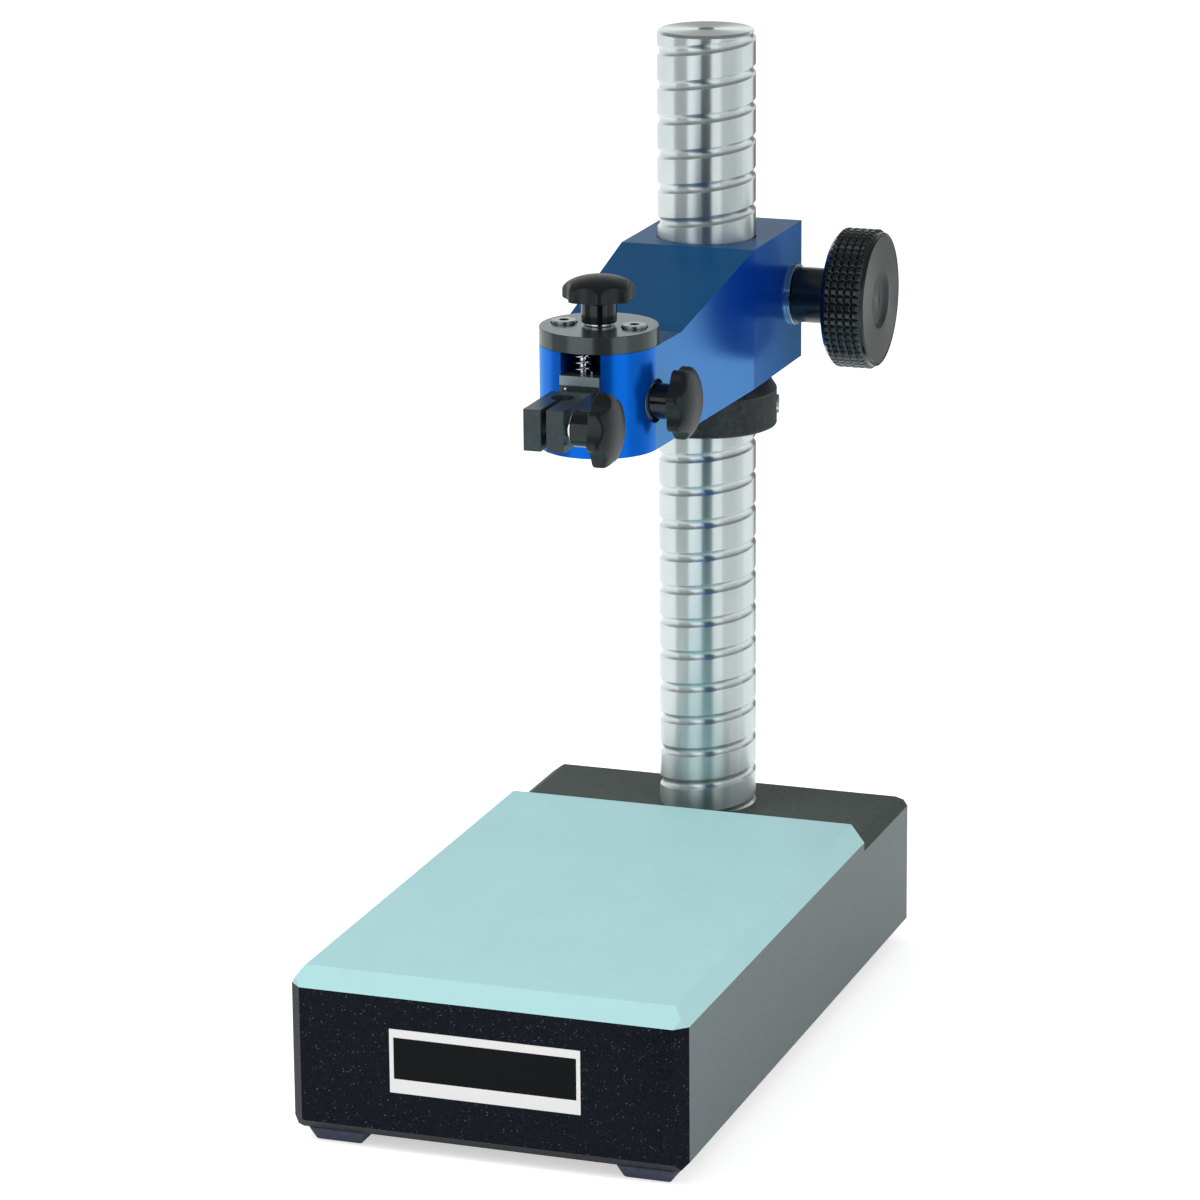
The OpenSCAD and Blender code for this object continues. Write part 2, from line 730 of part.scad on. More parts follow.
module clamp_washer() {
  color([0.8, 0.81, 0.82])
  translate([arm_half, clamp_y, clamp_z]) rotate([0, 90, 0])
    washer(clamp_washer_d, clamp_d + 2 * run_gap, clamp_washer_t);
}

// Black disc that closes the head and carries the fine spindle
module head_disc() {
  color([0.16, 0.17, 0.17])
  difference() {
    translate([0, head_y, head_z]) cylinder(d = head_d, h = disc_t);
    translate([0, head_y, head_z - past])
      cylinder(d = shank_d + 2 * run_gap, h = disc_t + 2 * past);
    disc_screw_places() {
      translate([0, 0, head_z - past])
        cylinder(d = disc_screw_d + 2 * loose_gap, h = disc_t + 2 * past);
      translate([0, 0, disc_z + disc_head_out - disc_head_h])
        cylinder(d = disc_head_d + 2 * loose_gap, h = disc_head_h);
    }
    translate([0, spring_y, head_z - past])
      cylinder(d = spring_pin_d + 2 * loose_gap, h = past + disc_t - pin_roof);
  }
}

// Two low-head socket screws
module disc_screws() {
  seat = disc_z + disc_head_out - disc_head_h;
  color([0.72, 0.72, 0.7])
  disc_screw_places() difference() {
    union() {
      translate([0, 0, seat]) cylinder(d = disc_head_d, h = disc_head_h);
      translate([0, 0, seat - disc_screw_l]) cylinder(d = disc_screw_d, h = disc_screw_l);
    }
    translate([0, 0, seat + disc_head_h]) hex_socket(disc_hex, disc_hex_depth);
  }
}

// Outline of the star knob's body: a bevelled foot, an upright wall and an
// elliptical dome, drawn through one point for each dome_step degrees
dome_step = 7.5;

module star_outline() {
  r = star_d / 2;
  wall_z = star_hub_h + star_wall;
  polygon(concat(
    [[0, star_hub_h], [r - star_edge, star_hub_h], [r, star_hub_h + star_edge]],
    [for (a = [0 : dome_step : 90]) [r * cos(a), wall_z + (star_h - star_wall) * sin(a)]]));
}

// Ridged hand knob that stands on its hub, with a blind hole for its screw.
// One ridge points to +X
module star_knob(screw_d) {
  notch_x = star_d / 2 - notch_depth + notch_r;
  color([0.1, 0.1, 0.11])
  difference() {
    union() {
      cylinder(d = star_hub_d, h = star_hub_h + past);
      difference() {
        rotate_extrude() star_outline();
        for (i = [0 : star_ridges - 1]) rotate(360 * (i + 0.5) / star_ridges)
          translate([notch_x, 0, star_hub_h - past]) cylinder(r = notch_r, h = star_h + 2 * past);
      }
    }
    translate([0, 0, -past]) cylinder(d = screw_d + 2 * seat_gap, h = star_grip + past);
  }
}

module fine_knob() {
  translate([0, head_y, knob_z]) rotate(fine_ridge) star_knob(shank_d);
}

// Spindle of the fine adjustment: thread below, flange under the disc, shank above
module fine_spindle() {
  low = guide_floor_z + spindle_up;
  color([0.2, 0.21, 0.22])
  translate([0, head_y, 0]) {
    translate([0, 0, low]) cylinder(d = spindle_d, h = head_z - low);
    translate([0, 0, head_z - flange_t]) cylinder(d = flange_d, h = flange_t);
    translate([0, 0, head_z]) cylinder(d = shank_d, h = knob_z + star_grip - end_gap - head_z);
  }
}

module fine_washer() {
  color([0.8, 0.81, 0.82])
  translate([0, head_y, disc_z]) washer(star_washer_d, shank_d + 2 * run_gap, fine_washer_t);
}

// Compression spring between the disc and the slider's tongue
spring_steps = 16;
spring_sides = 6;
spring_r = spring_d / 2 - spring_wire / 2;
spring_count = ceil(spring_turns * spring_steps);
spring_rise = (spring_high_z - spring_low_z - spring_wire) / spring_count;

function spring_section(i) =
  let (a = 360 * spring_turns * i / spring_count,
    z = spring_low_z + spring_wire / 2 + spring_rise * i)
  [for (j = [0 : spring_sides - 1])
    let (b = -360 * j / spring_sides, r = spring_r + spring_wire / 2 * cos(b))
    [r * cos(a), r * sin(a), z + spring_wire / 2 * sin(b)]];

module fine_spring() {
  color([0.75, 0.76, 0.77])
  translate([0, spring_y, 0])
    polyhedron([for (i = [0 : spring_count]) each spring_section(i)],
      tube_faces(spring_count, spring_sides), convexity = 10);
}

// Steel pin fixed in the slider, which guides the spring and slides in the disc
module spring_pin() {
  low = slider_top_z - spring_pin_grip;
  color([0.8, 0.81, 0.82])
  translate([0, spring_y, low]) cylinder(d = spring_pin_d, h = head_z + spring_pin_in - low);
}

// Slider of the fine adjustment: a round back in the guide bore, and a tongue in
// the slot on which the spring stands
module slider() {
  color([0.2, 0.21, 0.22])
  difference() {
    translate([0, head_y, slider_z]) {
      cylinder(d = guide_bore_d - 2 * run_gap, h = slider_h);
      translate([-tongue_w / 2, -tongue_reach, 0]) cube([tongue_w, tongue_reach, slider_h]);
    }
    translate([0, head_y, slider_z - past])
      cylinder(d = spindle_d + 2 * run_gap, h = slider_h + 2 * past);
    translate([0, tongue_y - past, holder_mid_z]) rotate([-90, 0, 0])
      cylinder(d = tenon_d + 2 * seat_gap, h = tenon_l + past + end_gap);
    translate([-stop_pin_x, tongue_y - past, stop_pin_z]) rotate([-90, 0, 0])
      cylinder(d = stop_pin_d + 2 * seat_gap, h = stop_pin_l + past);
    translate([0, spring_y, slider_top_z - spring_pin_grip])
      cylinder(d = spring_pin_d + 2 * seat_gap, h = spring_pin_grip + past);
  }
}

// Small pin in the slider's front face, above the holder's neck
module stop_pin() {
  color([0.8, 0.81, 0.82])
  translate([-stop_pin_x, tongue_y - stop_pin_out, stop_pin_z]) rotate([-90, 0, 0])
    cylinder(d = stop_pin_d, h = stop_pin_out + stop_pin_l);
}

// Black gauge holder: a split square bar with the gauge bore, on a neck and tenon
module gauge_holder() {
  color([0.14, 0.14, 0.15])
  difference() {
    union() {
      translate([-holder_w / 2, holder_front_y, slider_z]) cube([holder_w, holder_l, holder_w]);
      translate([-neck_w / 2, holder_rear_y - past, holder_mid_z - neck_w / 2])
        cube([neck_w, neck_l + past, neck_w]);
      translate([0, tongue_y - past, holder_mid_z]) rotate([-90, 0, 0])
        cylinder(d = tenon_d, h = tenon_l + past);
    }
    translate([0, gauge_y, slider_z - past]) cylinder(d = gauge_d, h = holder_w + 2 * past);
    translate([-jaw_slot / 2, holder_front_y - past, slider_z - past])
      cube([jaw_slot, gauge_back + past, holder_w + 2 * past]);
    rod_x(jaw_wall - holder_w / 2, jaw_screw_y, holder_mid_z, star_screw_d + 2 * run_gap,
      holder_w);
  }
}

// Places a star knob with its hub's end at x and its axis along +X, one ridge
// leaning from +Z to the front by the given angle
module side_knob(x, y, z, ridge) {
  translate([x, y, z]) rotate([0, 90, 0]) rotate(180 + ridge) star_knob(star_screw_d);
}

module holder_knob() {
  side_knob(holder_w / 2 + holder_washer_t, jaw_screw_y, holder_mid_z, holder_ridge);
}

module holder_screw() {
  start = jaw_wall + end_gap - holder_w / 2;
  seat = holder_w / 2 + holder_washer_t;
  color([0.7, 0.71, 0.73])
  rod_x(start, jaw_screw_y, holder_mid_z, star_screw_d, seat + star_grip - end_gap - start);
}

module holder_washer() {
  color([0.8, 0.81, 0.82])
  translate([holder_w / 2, jaw_screw_y, holder_mid_z]) rotate([0, 90, 0])
    washer(star_washer_d, star_screw_d + 2 * run_gap, holder_washer_t);
}

module lock_knob() {
  side_knob(lock_hub_x, head_y, lock_z, lock_ridge);
}

module lock_screw() {
  start = guide_bore_d / 2 - run_gap + tip_gap;
  color([0.7, 0.71, 0.73])
  rod_x(start, head_y, lock_z, star_screw_d, lock_hub_x + star_grip - end_gap - start);
}

granite_base();
measuring_plate();
rubber_feet();
blank_label();
column();
column_bolt();
column_washer();
height_ring();
guide_screw();
thrust_washer();
arm();
clamp_knob();
clamp_screw();
clamp_washer();
head_disc();
disc_screws();
fine_knob();
fine_spindle();
fine_washer();
fine_spring();
spring_pin();
slider();
stop_pin();
gauge_holder();
holder_knob();
holder_screw();
holder_washer();
lock_knob();
lock_screw();
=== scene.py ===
"""Looks of the comparator stand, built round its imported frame.

Lengths are in metres, +Z points up and the front faces -Y."""

import json
import math

import bmesh
import bpy
from mathutils import Matrix, Vector


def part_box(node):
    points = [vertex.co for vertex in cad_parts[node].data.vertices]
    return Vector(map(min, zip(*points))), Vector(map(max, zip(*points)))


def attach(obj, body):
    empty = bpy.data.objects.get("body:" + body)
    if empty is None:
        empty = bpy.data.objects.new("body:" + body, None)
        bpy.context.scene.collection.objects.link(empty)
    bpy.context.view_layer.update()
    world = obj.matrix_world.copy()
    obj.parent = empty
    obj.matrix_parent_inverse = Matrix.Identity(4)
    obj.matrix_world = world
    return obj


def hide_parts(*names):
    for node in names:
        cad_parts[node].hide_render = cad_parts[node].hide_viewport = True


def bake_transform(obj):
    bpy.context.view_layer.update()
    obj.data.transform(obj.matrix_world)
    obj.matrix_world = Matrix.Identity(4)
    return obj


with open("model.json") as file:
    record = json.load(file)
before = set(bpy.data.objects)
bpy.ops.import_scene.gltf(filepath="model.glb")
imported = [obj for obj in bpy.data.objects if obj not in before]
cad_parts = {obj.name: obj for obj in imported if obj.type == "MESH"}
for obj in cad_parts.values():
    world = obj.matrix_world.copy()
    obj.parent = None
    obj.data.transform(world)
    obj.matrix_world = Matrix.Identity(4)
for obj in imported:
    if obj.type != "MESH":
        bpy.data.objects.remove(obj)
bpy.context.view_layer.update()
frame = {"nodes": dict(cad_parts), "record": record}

MM = 0.001
UP = (0, 0, 1)
CORNERS = ((-1, -1), (1, -1), (1, 1), (-1, 1))

# Edges sharper than these stay sharp or get a bevel
SMOOTH_ANGLE = math.radians(32)
THREAD_ANGLE = math.radians(50)
BEVEL_ANGLE = math.radians(25)

# Lengths below this count as none
TINY = 1e-7

# Where each CAD node belongs, read from the frame
BODY_OF = {n: b for b, nodes in frame["record"]["behaviour"]["bodies"].items() for n in nodes}
BOX = {n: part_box(n) for n in frame["nodes"]}


def low(node):
    return BOX[node][0]


def high(node):
    return BOX[node][1]


def middle(node):
    return (BOX[node][0] + BOX[node][1]) / 2


# Driving dimensions that the boxes don't give
CORNER_CUT = 4.2 * MM
UNDER_CUT = 3.4 * MM
LEDGE_CUT_W = 4.5 * MM
LEDGE_CUT_H = 3.2 * MM
PLATE_CUT = 4.8 * MM
COL_R = 17.5 * MM
GROOVE_PITCH = 12.2 * MM
GROOVE_W = 3.4 * MM
GROOVE_DEPTH = 0.9 * MM
GUIDE_ANGLE = math.radians(19.5)
GUIDE_RISE = 7 * MM
GUIDE_SCREW_R = 3.5 * MM
ARM_HALF = 24.5 * MM
HEAD_R = 20.2 * MM
HEAD_H = 35.5 * MM
ARM_BROW = 21.7 * MM
HEAD_FLAT = 22.9 * MM
SLIT_W = 2.5 * MM
GUIDE_BORE_R = 8.5 * MM
GUIDE_FLOOR = 6 * MM
TONGUE_W = 14 * MM
FIT = 0.05 * MM
SCREW_PITCH = 25 * MM
CLAMP_HUB_R = 10 * MM
CLAMP_HUB_L = 15 * MM
CLAMP_R = 25 * MM
STAR_R = 12.5 * MM
STAR_HUB_R = 6 * MM
STAR_HUB_H = 8 * MM
STAR_H = 8 * MM
STAR_WALL = 2.8 * MM
STAR_RIDGES = 7
NOTCH_R = 7.6 * MM
NOTCH_DEPTH = 2 * MM
FINE_RIDGE = math.radians(-70.5)
HOLDER_RIDGE = math.radians(1.2)
LOCK_RIDGE = math.radians(21.8)
SPOT_X = 18 * MM
SPOT_R = 7.5 * MM
SPRING_TURNS = 2.95
SPRING_WIRE_R = 0.35 * MM
PIN_GAP = 0.4 * MM
PIN_ROOF = 1 * MM
M5_HOLE_R = 2.55 * MM
M8_HOLE_R = 4.05 * MM
M8_EASY_R = 4.4 * MM
BOLT_HOLE_R = 5.4 * MM
BOLT_SEAT_R = 14.4 * MM
SCREW_HEAD_H = 3.5 * MM
KEY_W = 3.2 * MM
TENON_R = 4 * MM
TENON_DEPTH = 7.5 * MM
SPINDLE_R = 2 * MM
GAUGE_R = 4 * MM
FINE_THREAD = 0.8 * MM

# Radius and depth along the wall of the hole in the column's top
TOP_HOLE = ((3.2 * MM, 0), (2.5 * MM, 0.7 * MM), (2.5 * MM, 14 * MM))

COL_Y = middle("column").y
PLATE_Y = high("measuring_plate").y
COL_TOP = high("column").z
ARM_Z = low("arm").z
ARM_TOP = high("arm").z
HEAD_Z = ARM_Z + HEAD_H
HEAD_Y = middle("head_disc").y
GUIDE_Z = low("height_ring").z + GUIDE_RISE


def link(name, bm):
    """Makes an object from a bmesh."""
    bmesh.ops.recalc_face_normals(bm, faces=bm.faces)
    mesh = bpy.data.meshes.new(name)
    bm.to_mesh(mesh)
    bm.free()
    obj = bpy.data.objects.new(name, mesh)
    bpy.context.scene.collection.objects.link(obj)
    return obj


def apply_modifiers(obj):
    """Replaces the object's mesh by the result of its modifiers."""
    bpy.context.view_layer.update()
    depsgraph = bpy.context.evaluated_depsgraph_get()
    old = obj.data
    obj.data = bpy.data.meshes.new_from_object(obj.evaluated_get(depsgraph))
    obj.modifiers.clear()
    bpy.data.meshes.remove(old)
    return obj


def combine(obj, other, operation):
    """Takes the other object out of this one or unites the two, and deletes the other."""
    modifier = obj.modifiers.new("combine", "BOOLEAN")
    modifier.operation = operation
    modifier.solver = "EXACT"
    modifier.object = other
    apply_modifiers(obj)
    bpy.data.objects.remove(other)
    return obj


def cut(obj, tool):
    return combine(obj, tool, "DIFFERENCE")


def join(obj, other):
    return combine(obj, other, "UNION")


def soften(obj, width, segments=2, crisp=None):
    """Rounds the sharp edges and shades the flats flat. crisp picks edges as smooth() does."""
    modifier = obj.modifiers.new("bevel", "BEVEL")
    modifier.width = width
    modifier.segments = segments
    modifier.limit_method = "ANGLE"
    modifier.angle_limit = BEVEL_ANGLE
    apply_modifiers(obj)
    return smooth(obj, crisp=crisp)


def smooth(obj, angle=SMOOTH_ANGLE, crisp=None):
    """Smooth shading with area-weighted normals. Edges above the angle are sharp, and so are
    those whose two ends crisp() picks."""
    for polygon in obj.data.polygons:
        polygon.use_smooth = True
    obj.data.set_sharp_from_angle(angle=angle)
    if crisp:
        for edge in obj.data.edges:
            if crisp(*(obj.data.vertices[v].co for v in edge.vertices)):
                edge.use_edge_sharp = True
    modifier = obj.modifiers.new("normals", "WEIGHTED_NORMAL")
    modifier.keep_sharp = True
    return apply_modifiers(obj)


def skin(bm, lower, upper):
    """Adds the faces between two closed rows of points. A row may be one point repeated."""
    for i in range(len(lower)):
        j = (i + 1) % len(lower)
        corners = list(dict.fromkeys((lower[i], lower[j], upper[j], upper[i])))
        if len(corners) > 2:
            bm.faces.new(corners)


def loft(name, lower, upper):
    """A closed form between two outlines with as many points each."""
    bm = bmesh.new()
    first = [bm.verts.new(p) for p in lower]
    last = [bm.verts.new(p) for p in upper]
    bm.faces.new(first)
    bm.faces.new(last)
    skin(bm, first, last)
    return link(name, bm)


def prism(name, outline, axis, start, end):
    """Extrudes an outline. Axis x takes (y, z) points, axis y takes (x, z), axis z takes (x, y)."""
    k = "xyz".index(axis)
    lower, upper = ([(*p[:k], t, *p[k:]) for p in outline] for t in (start, end))
    return loft(name, lower, upper)


def block(name, lo, hi):
    """A box between two corners."""
    corners = [(lo[0], lo[1]), (hi[0], lo[1]), (hi[0], hi[1]), (lo[0], hi[1])]
    return prism(name, corners, "z", lo[2], hi[2])


def bisect(bm, point, normal, **clear):
    """Splits a bmesh's edges and faces along a plane and returns what lies on the split."""
    done = bmesh.ops.bisect_plane(bm, geom=[*bm.verts, *bm.edges, *bm.faces],
                                  plane_co=point, plane_no=normal, **clear)
    return done["geom_cut"]


def slice_off(obj, point, normal):
    """Removes what lies beyond a plane and closes the cut."""
    bm = bmesh.new()
    bm.from_mesh(obj.data)
    line = bisect(bm, Vector(point), Vector(normal), clear_outer=True)
    bmesh.ops.edgenet_fill(bm, edges=[e for e in line if isinstance(e, bmesh.types.BMEdge)])
    bmesh.ops.recalc_face_normals(bm, faces=bm.faces)
    bm.to_mesh(obj.data)
    bm.free()
    return obj


def frame_at(origin, direction):
    """A matrix that puts the origin at a point and +Z along x, y, z or a vector. Along x, its own
    +X points up and its +Y to the front."""
    axes = {
        "x": ((0, 0, 1), (0, -1, 0), (1, 0, 0)),
        "y": ((1, 0, 0), (0, 0, -1), (0, 1, 0)),
        "z": ((1, 0, 0), (0, 1, 0), (0, 0, 1)),
    }
    if isinstance(direction, str):
        turn = Matrix(axes[direction]).transposed()
    else:
        turn = Vector(direction).to_track_quat("Z", "Y").to_matrix()
    return Matrix.Translation(Vector(origin)) @ turn.to_4x4()


COL_AXIS = frame_at((0, COL_Y, 0), "z")
HEAD_AXIS = frame_at((0, HEAD_Y, 0), "z")
PIN_AXIS = frame_at((0, middle("spring_pin").y, 0), "z")
SCREW_AXES = [frame_at((x * SCREW_PITCH / 2, HEAD_Y, 0), "z") for x in (-1, 1)]


def guide_frame():
    """The guide screw's frame, from the column's axis outwards."""
    return frame_at((0, COL_Y, GUIDE_Z), (math.cos(GUIDE_ANGLE), math.sin(GUIDE_ANGLE), 0))


def revolve(name, rings, at, segments=96, closed=False, shape=None):
    """Turns (radius, height) rings about +Z of the matrix. A closed profile is a loop, such as
    a washer's; an open one starts and ends on the axis. shape(angle, ring) may alter a radius."""
    bm = bmesh.new()
    rows = []
    for k, (r, z) in enumerate(rings):
        if r < TINY:
            rows.append([bm.verts.new(at @ Vector((0, 0, z)))] * segments)
            continue
        row = []
        for i in range(segments):
            a = 2 * math.pi * i / segments
            q = shape(a, k) if shape else r
            row.append(bm.verts.new(at @ Vector((q * math.cos(a), q * math.sin(a), z))))
        rows.append(row)
    if closed:
        rows.append(rows[0])
    for lower, upper in zip(rows, rows[1:]):
        skin(bm, lower, upper)
    return link(name, bm)


def rounded(points, radius, closed=True):
    """Rounds the corners of a profile. A corner on the axis stays sharp."""
    steps = 3
    share = 0.45
    out = []
    count = len(points)
    for i, p in enumerate(points):
        if not closed and i in (0, count - 1):
            out.append(p)
            continue
        here = Vector(p)
        before = Vector(points[i - 1]) - here
        after = Vector(points[(i + 1) % count]) - here
        if min(here.x, before.length, after.length) < TINY:
            out.append(p)
            continue
        reach = min(radius, before.length * share, after.length * share)
        start = here + before.normalized() * reach
        end = here + after.normalized() * reach
        for s in range(steps + 1):
            t = s / steps
            q = start * (1 - t) ** 2 + here * 2 * t * (1 - t) + end * t ** 2
            out.append((q.x, q.y))
    return out


def rod(name, at, radius, length, edge, segments):
    """A round bar from the matrix's origin along its +Z, with softened ends."""
    profile = rounded([(0, 0), (radius, 0), (radius, length), (0, length)], edge, closed=False)
    return revolve(name, profile, at, segments)


def hexagon(at, top, across, depth):
    """A hexagonal tool that reaches depth below a height on the matrix's +Z and a little above."""
    r = across / 2 / math.cos(math.radians(30))
    return revolve("tool", [(0, top - depth), (r, top - depth), (r, top + 1 * MM),
                            (0, top + 1 * MM)], at, 6)


def drill(obj, at, radius, start, end, segments=64):
    """Cuts a round hole from start to end along the matrix's +Z."""
    profile = [(0, start), (radius, start), (radius, end), (0, end)]
    cut(obj, revolve("tool", profile, at, segments))


def helical_wall(profile, pitch, steps, first, last, angle=0.0, base=0.0, y=0.0):
    """A strip of wall that follows a helix about an upright line, as a bmesh. profile lists
    (height, radius) points within one pitch, and each turn is joined to the next. first and last
    count steps from the angle and the base height."""
    bm = bmesh.new()
    rows = []
    for i in range(first, last + 1):
        a = angle + 2 * math.pi * i / steps
        z = base + pitch * i / steps
        rows.append([bm.verts.new((r * math.cos(a), y + r * math.sin(a), z + u))
                     for u, r in profile])
    for i in range(len(rows) - 1):
        for j in range(len(profile) - 1):
            bm.faces.new((rows[i][j], rows[i + 1][j], rows[i + 1][j + 1], rows[i][j + 1]))
        if i + 1 + steps < len(rows):
            bm.faces.new((rows[i][-1], rows[i + 1][-1], rows[i + 1 + steps][0], rows[i + steps][0]))
    return bm


def trim_ends(bm, bottom, top):
    """Cuts a wall off level at two heights."""
    bisect(bm, (0, 0, bottom), UP, clear_inner=True)
    bisect(bm, (0, 0, top), UP, clear_outer=True)


def open_rims(bm, bottom, top, weld):
    """Welds the points that fall together and returns the open edges at the two heights."""
    bmesh.ops.remove_doubles(bm, verts=bm.verts, dist=weld)
    return [[e for e in bm.edges if e.is_boundary
             and all(abs(v.co.z - z) < 0.01 * MM for v in e.verts)] for z in (bottom, top)]


# Materials

COOL_SHINE = (0.8, 0.97, 1, 1)


class Tree:
    """Short calls that build a node tree."""

    def __init__(self, owner):
        owner.use_nodes = True
        self.tree = owner.node_tree

    def node(self, kind, **values):
        node = self.tree.nodes.new("ShaderNode" + kind)
        for key, value in values.items():
            setattr(node, key, value)
        return node

    def set(self, socket, value):
        """Links a socket to an output, or gives it a fixed value."""
        if isinstance(value, bpy.types.NodeSocket):
            self.tree.links.new(value, socket)
        else:
            socket.default_value = value

    def feed(self, node, **values):
        """Sets a node's inputs by name, with _ for a space, and returns its outputs."""
        for name, value in values.items():
            self.set(node.inputs[name.replace("_", " ")], value)
        return node.outputs

    def math(self, operation, a, b):
        node = self.node("Math", operation=operation)
        self.set(node.inputs[0], a)
        self.set(node.inputs[1], b)
        return node.outputs["Value"]

    def along_z(self, vector):
        return self.feed(self.node("SeparateXYZ"), Vector=vector)["Z"]

    def remap(self, value, start, end, at_start, at_end):
        """A value that goes evenly from at_start to at_end as the given one goes from start to
        end."""
        return self.feed(self.node("MapRange"), Value=value, From_Min=start, From_Max=end,
                         To_Min=at_start, To_Max=at_end)["Result"]


class Shader(Tree):
    """One principled material, built node by node. Scales count cells to the metre."""

    def __init__(self, name, color, metallic, roughness, **sockets):
        self.material = bpy.data.materials.new(name)
        super().__init__(self.material)
        self.bsdf = self.tree.nodes["Principled BSDF"]
        self.feed(self.bsdf, Base_Color=(*color, 1), Metallic=metallic, Roughness=roughness,
                  **sockets)
        self.place = self.node("TexCoord").outputs["Object"]

    def stretched(self, scale):
        """Coordinates scaled by an x, y, z triple."""
        return self.feed(self.node("Mapping"), Scale=scale, Vector=self.place)["Vector"]

    def noise(self, scale, detail=3, vector=None, rough=0.55):
        return self.feed(self.node("TexNoise"), Scale=scale, Detail=detail, Roughness=rough,
                         Vector=vector or self.place)["Fac"]

    def cells(self, scale, output="Distance"):
        return self.feed(self.node("TexVoronoi"), Scale=scale, Vector=self.place)[output]

    def ramp(self, source, *stops):
        """Maps a value through two (position, value or colour) stops."""
        node = self.node("ValToRGB")
        self.feed(node, Fac=source)
        for element, (position, value) in zip(node.color_ramp.elements, stops):
            element.position = position
            color = value if isinstance(value, tuple) else (value,) * 3
            element.color = (*color, 1)
        return node.outputs["Color"]

    def blend(self, factor, a, b, mode="MIX"):
        """Mixes two colours; each is an output or a colour."""
        node = self.node("Mix", data_type="RGBA", blend_type=mode)
        sockets = [s for s in node.inputs if s.enabled]
        for socket, value in zip(sockets, (factor, a, b)):
            self.set(socket, (*value, 1) if isinstance(value, tuple) else value)
        return [s for s in node.outputs if s.enabled][0]

    def color(self, source):
        self.feed(self.bsdf, Base_Color=source)

    def roughness(self, source, lowest, highest):
        """Roughness that follows a 0 to 1 value."""
        self.feed(self.bsdf, Roughness=self.remap(source, 0, 1, lowest, highest))

    def bump(self, source, depth, strength):
        """Adds relief of the given depth in metres and returns the finished material."""
        relief = self.feed(self.node("Bump"), Strength=strength, Distance=depth, Height=source)
        self.feed(self.bsdf, Normal=relief["Normal"])
        return self.material

    def turned(self, axis):
        """Turns the stretch of the reflections to run round an axis."""
        around = self.node("Tangent", direction_type="RADIAL", axis=axis)
        self.feed(self.bsdf, Tangent=around.outputs["Tangent"])

    def glow(self, strength):
        """White light of its own."""
        self.feed(self.bsdf, Emission_Color=(1, 1, 1, 1), Emission_Strength=strength)


def granite(name, base, light, speck, lowest, highest, shine):
    """Black granite: crystals in close tones with sparse pale flakes."""
    s = Shader(name, base, 0.0, 0.4, Specular_IOR_Level=shine, Specular_Tint=(0.72, 0.95, 1, 1))
    crystals = s.cells(1700, output="Color")
    tone = s.ramp(crystals, (0.1, base), (0.9, light))
    flake = s.ramp(s.cells(1000), (0.16, 1.0), (0.24, 0.0))
    patches = s.ramp(s.noise(420, 2), (0.5, 0.0), (0.6, 1.0))
    mask = s.blend(1.0, flake, patches, "MULTIPLY")
    s.color(s.blend(mask, tone, speck))
    s.roughness(s.noise(900, 4), lowest, highest)
    return s.bump(s.noise(2600), 0.02 * MM, 0.35)


def stone_face():
    """Pale blue lapped measuring surface."""
    s = Shader("plate_blue", (0.43, 0.72, 0.73), 0.0, 0.55, Specular_IOR_Level=0.35)
    cloud = s.ramp(s.noise(45, 4), (0.3, (0.425, 0.710, 0.722)), (0.7, (0.445, 0.735, 0.748)))
    grain = s.ramp(s.noise(2400, 2), (0.35, 0.96), (0.65, 1.0))
    s.color(s.blend(1.0, cloud, grain, "MULTIPLY"))
    s.roughness(s.noise(1300), 0.5, 0.62)
    return s.bump(s.noise(3000, 2), 0.01 * MM, 0.3)


def rubber():
    """Dark bluish rubber with a dull, grainy skin."""
    s = Shader("foot_rubber", (0.05, 0.06, 0.10), 0.0, 0.75, Specular_IOR_Level=0.3)
    s.color(s.ramp(s.noise(500), (0.3, (0.042, 0.052, 0.088)), (0.7, (0.062, 0.072, 0.115))))
    s.roughness(s.noise(900), 0.65, 0.85)
    return s.bump(s.noise(2500), 0.03 * MM, 0.5)


def ground_steel():
    """Chromed and ground column: fine rings round its axis, which draw its reflections out along
    it, and a few faint stains."""
    s = Shader("ground_steel", (0.62, 0.69, 0.70), 1.0, 0.3, Anisotropic=0.95,
               Anisotropic_Rotation=0.25)
    s.turned("Z")
    rings = s.noise(1.0, 3, s.stretched((40, 40, 9000)), 0.7)
    s.color(s.ramp(s.noise(60), (0.3, (0.60, 0.675, 0.68)), (0.7, (0.66, 0.725, 0.73))))
    s.roughness(rings, 0.25, 0.34)
    return s.bump(rings, 0.002 * MM, 0.5)


def turned_steel(name, color, metallic, lowest, highest):
    """Machined metal with an even, fine grain."""
    s = Shader(name, color, metallic, 0.3)
    s.roughness(s.noise(1800, 4), lowest, highest)
    return s.bump(s.noise(4000, 2), 0.005 * MM, 0.5)


def blue_anodised(name, base, grain, metallic, index, edge, lowest, highest):
    """Anodised aluminium: metal under a dyed blue oxide, with faint tool marks. grain scales the
    marks, which run along the axes with the small numbers. index is the one of the oxide and edge
    tints its shine."""
    s = Shader(name, base, metallic, 0.3, IOR=index, Specular_Tint=edge)
    lighter = tuple(c * 1.12 for c in base)
    s.color(s.ramp(s.noise(38), (0.3, base), (0.7, lighter)))
    mill = s.noise(1.0, 2, s.stretched(grain), 0.6)
    s.roughness(mill, lowest, highest)
    return s.bump(mill, 0.004 * MM, 0.5)


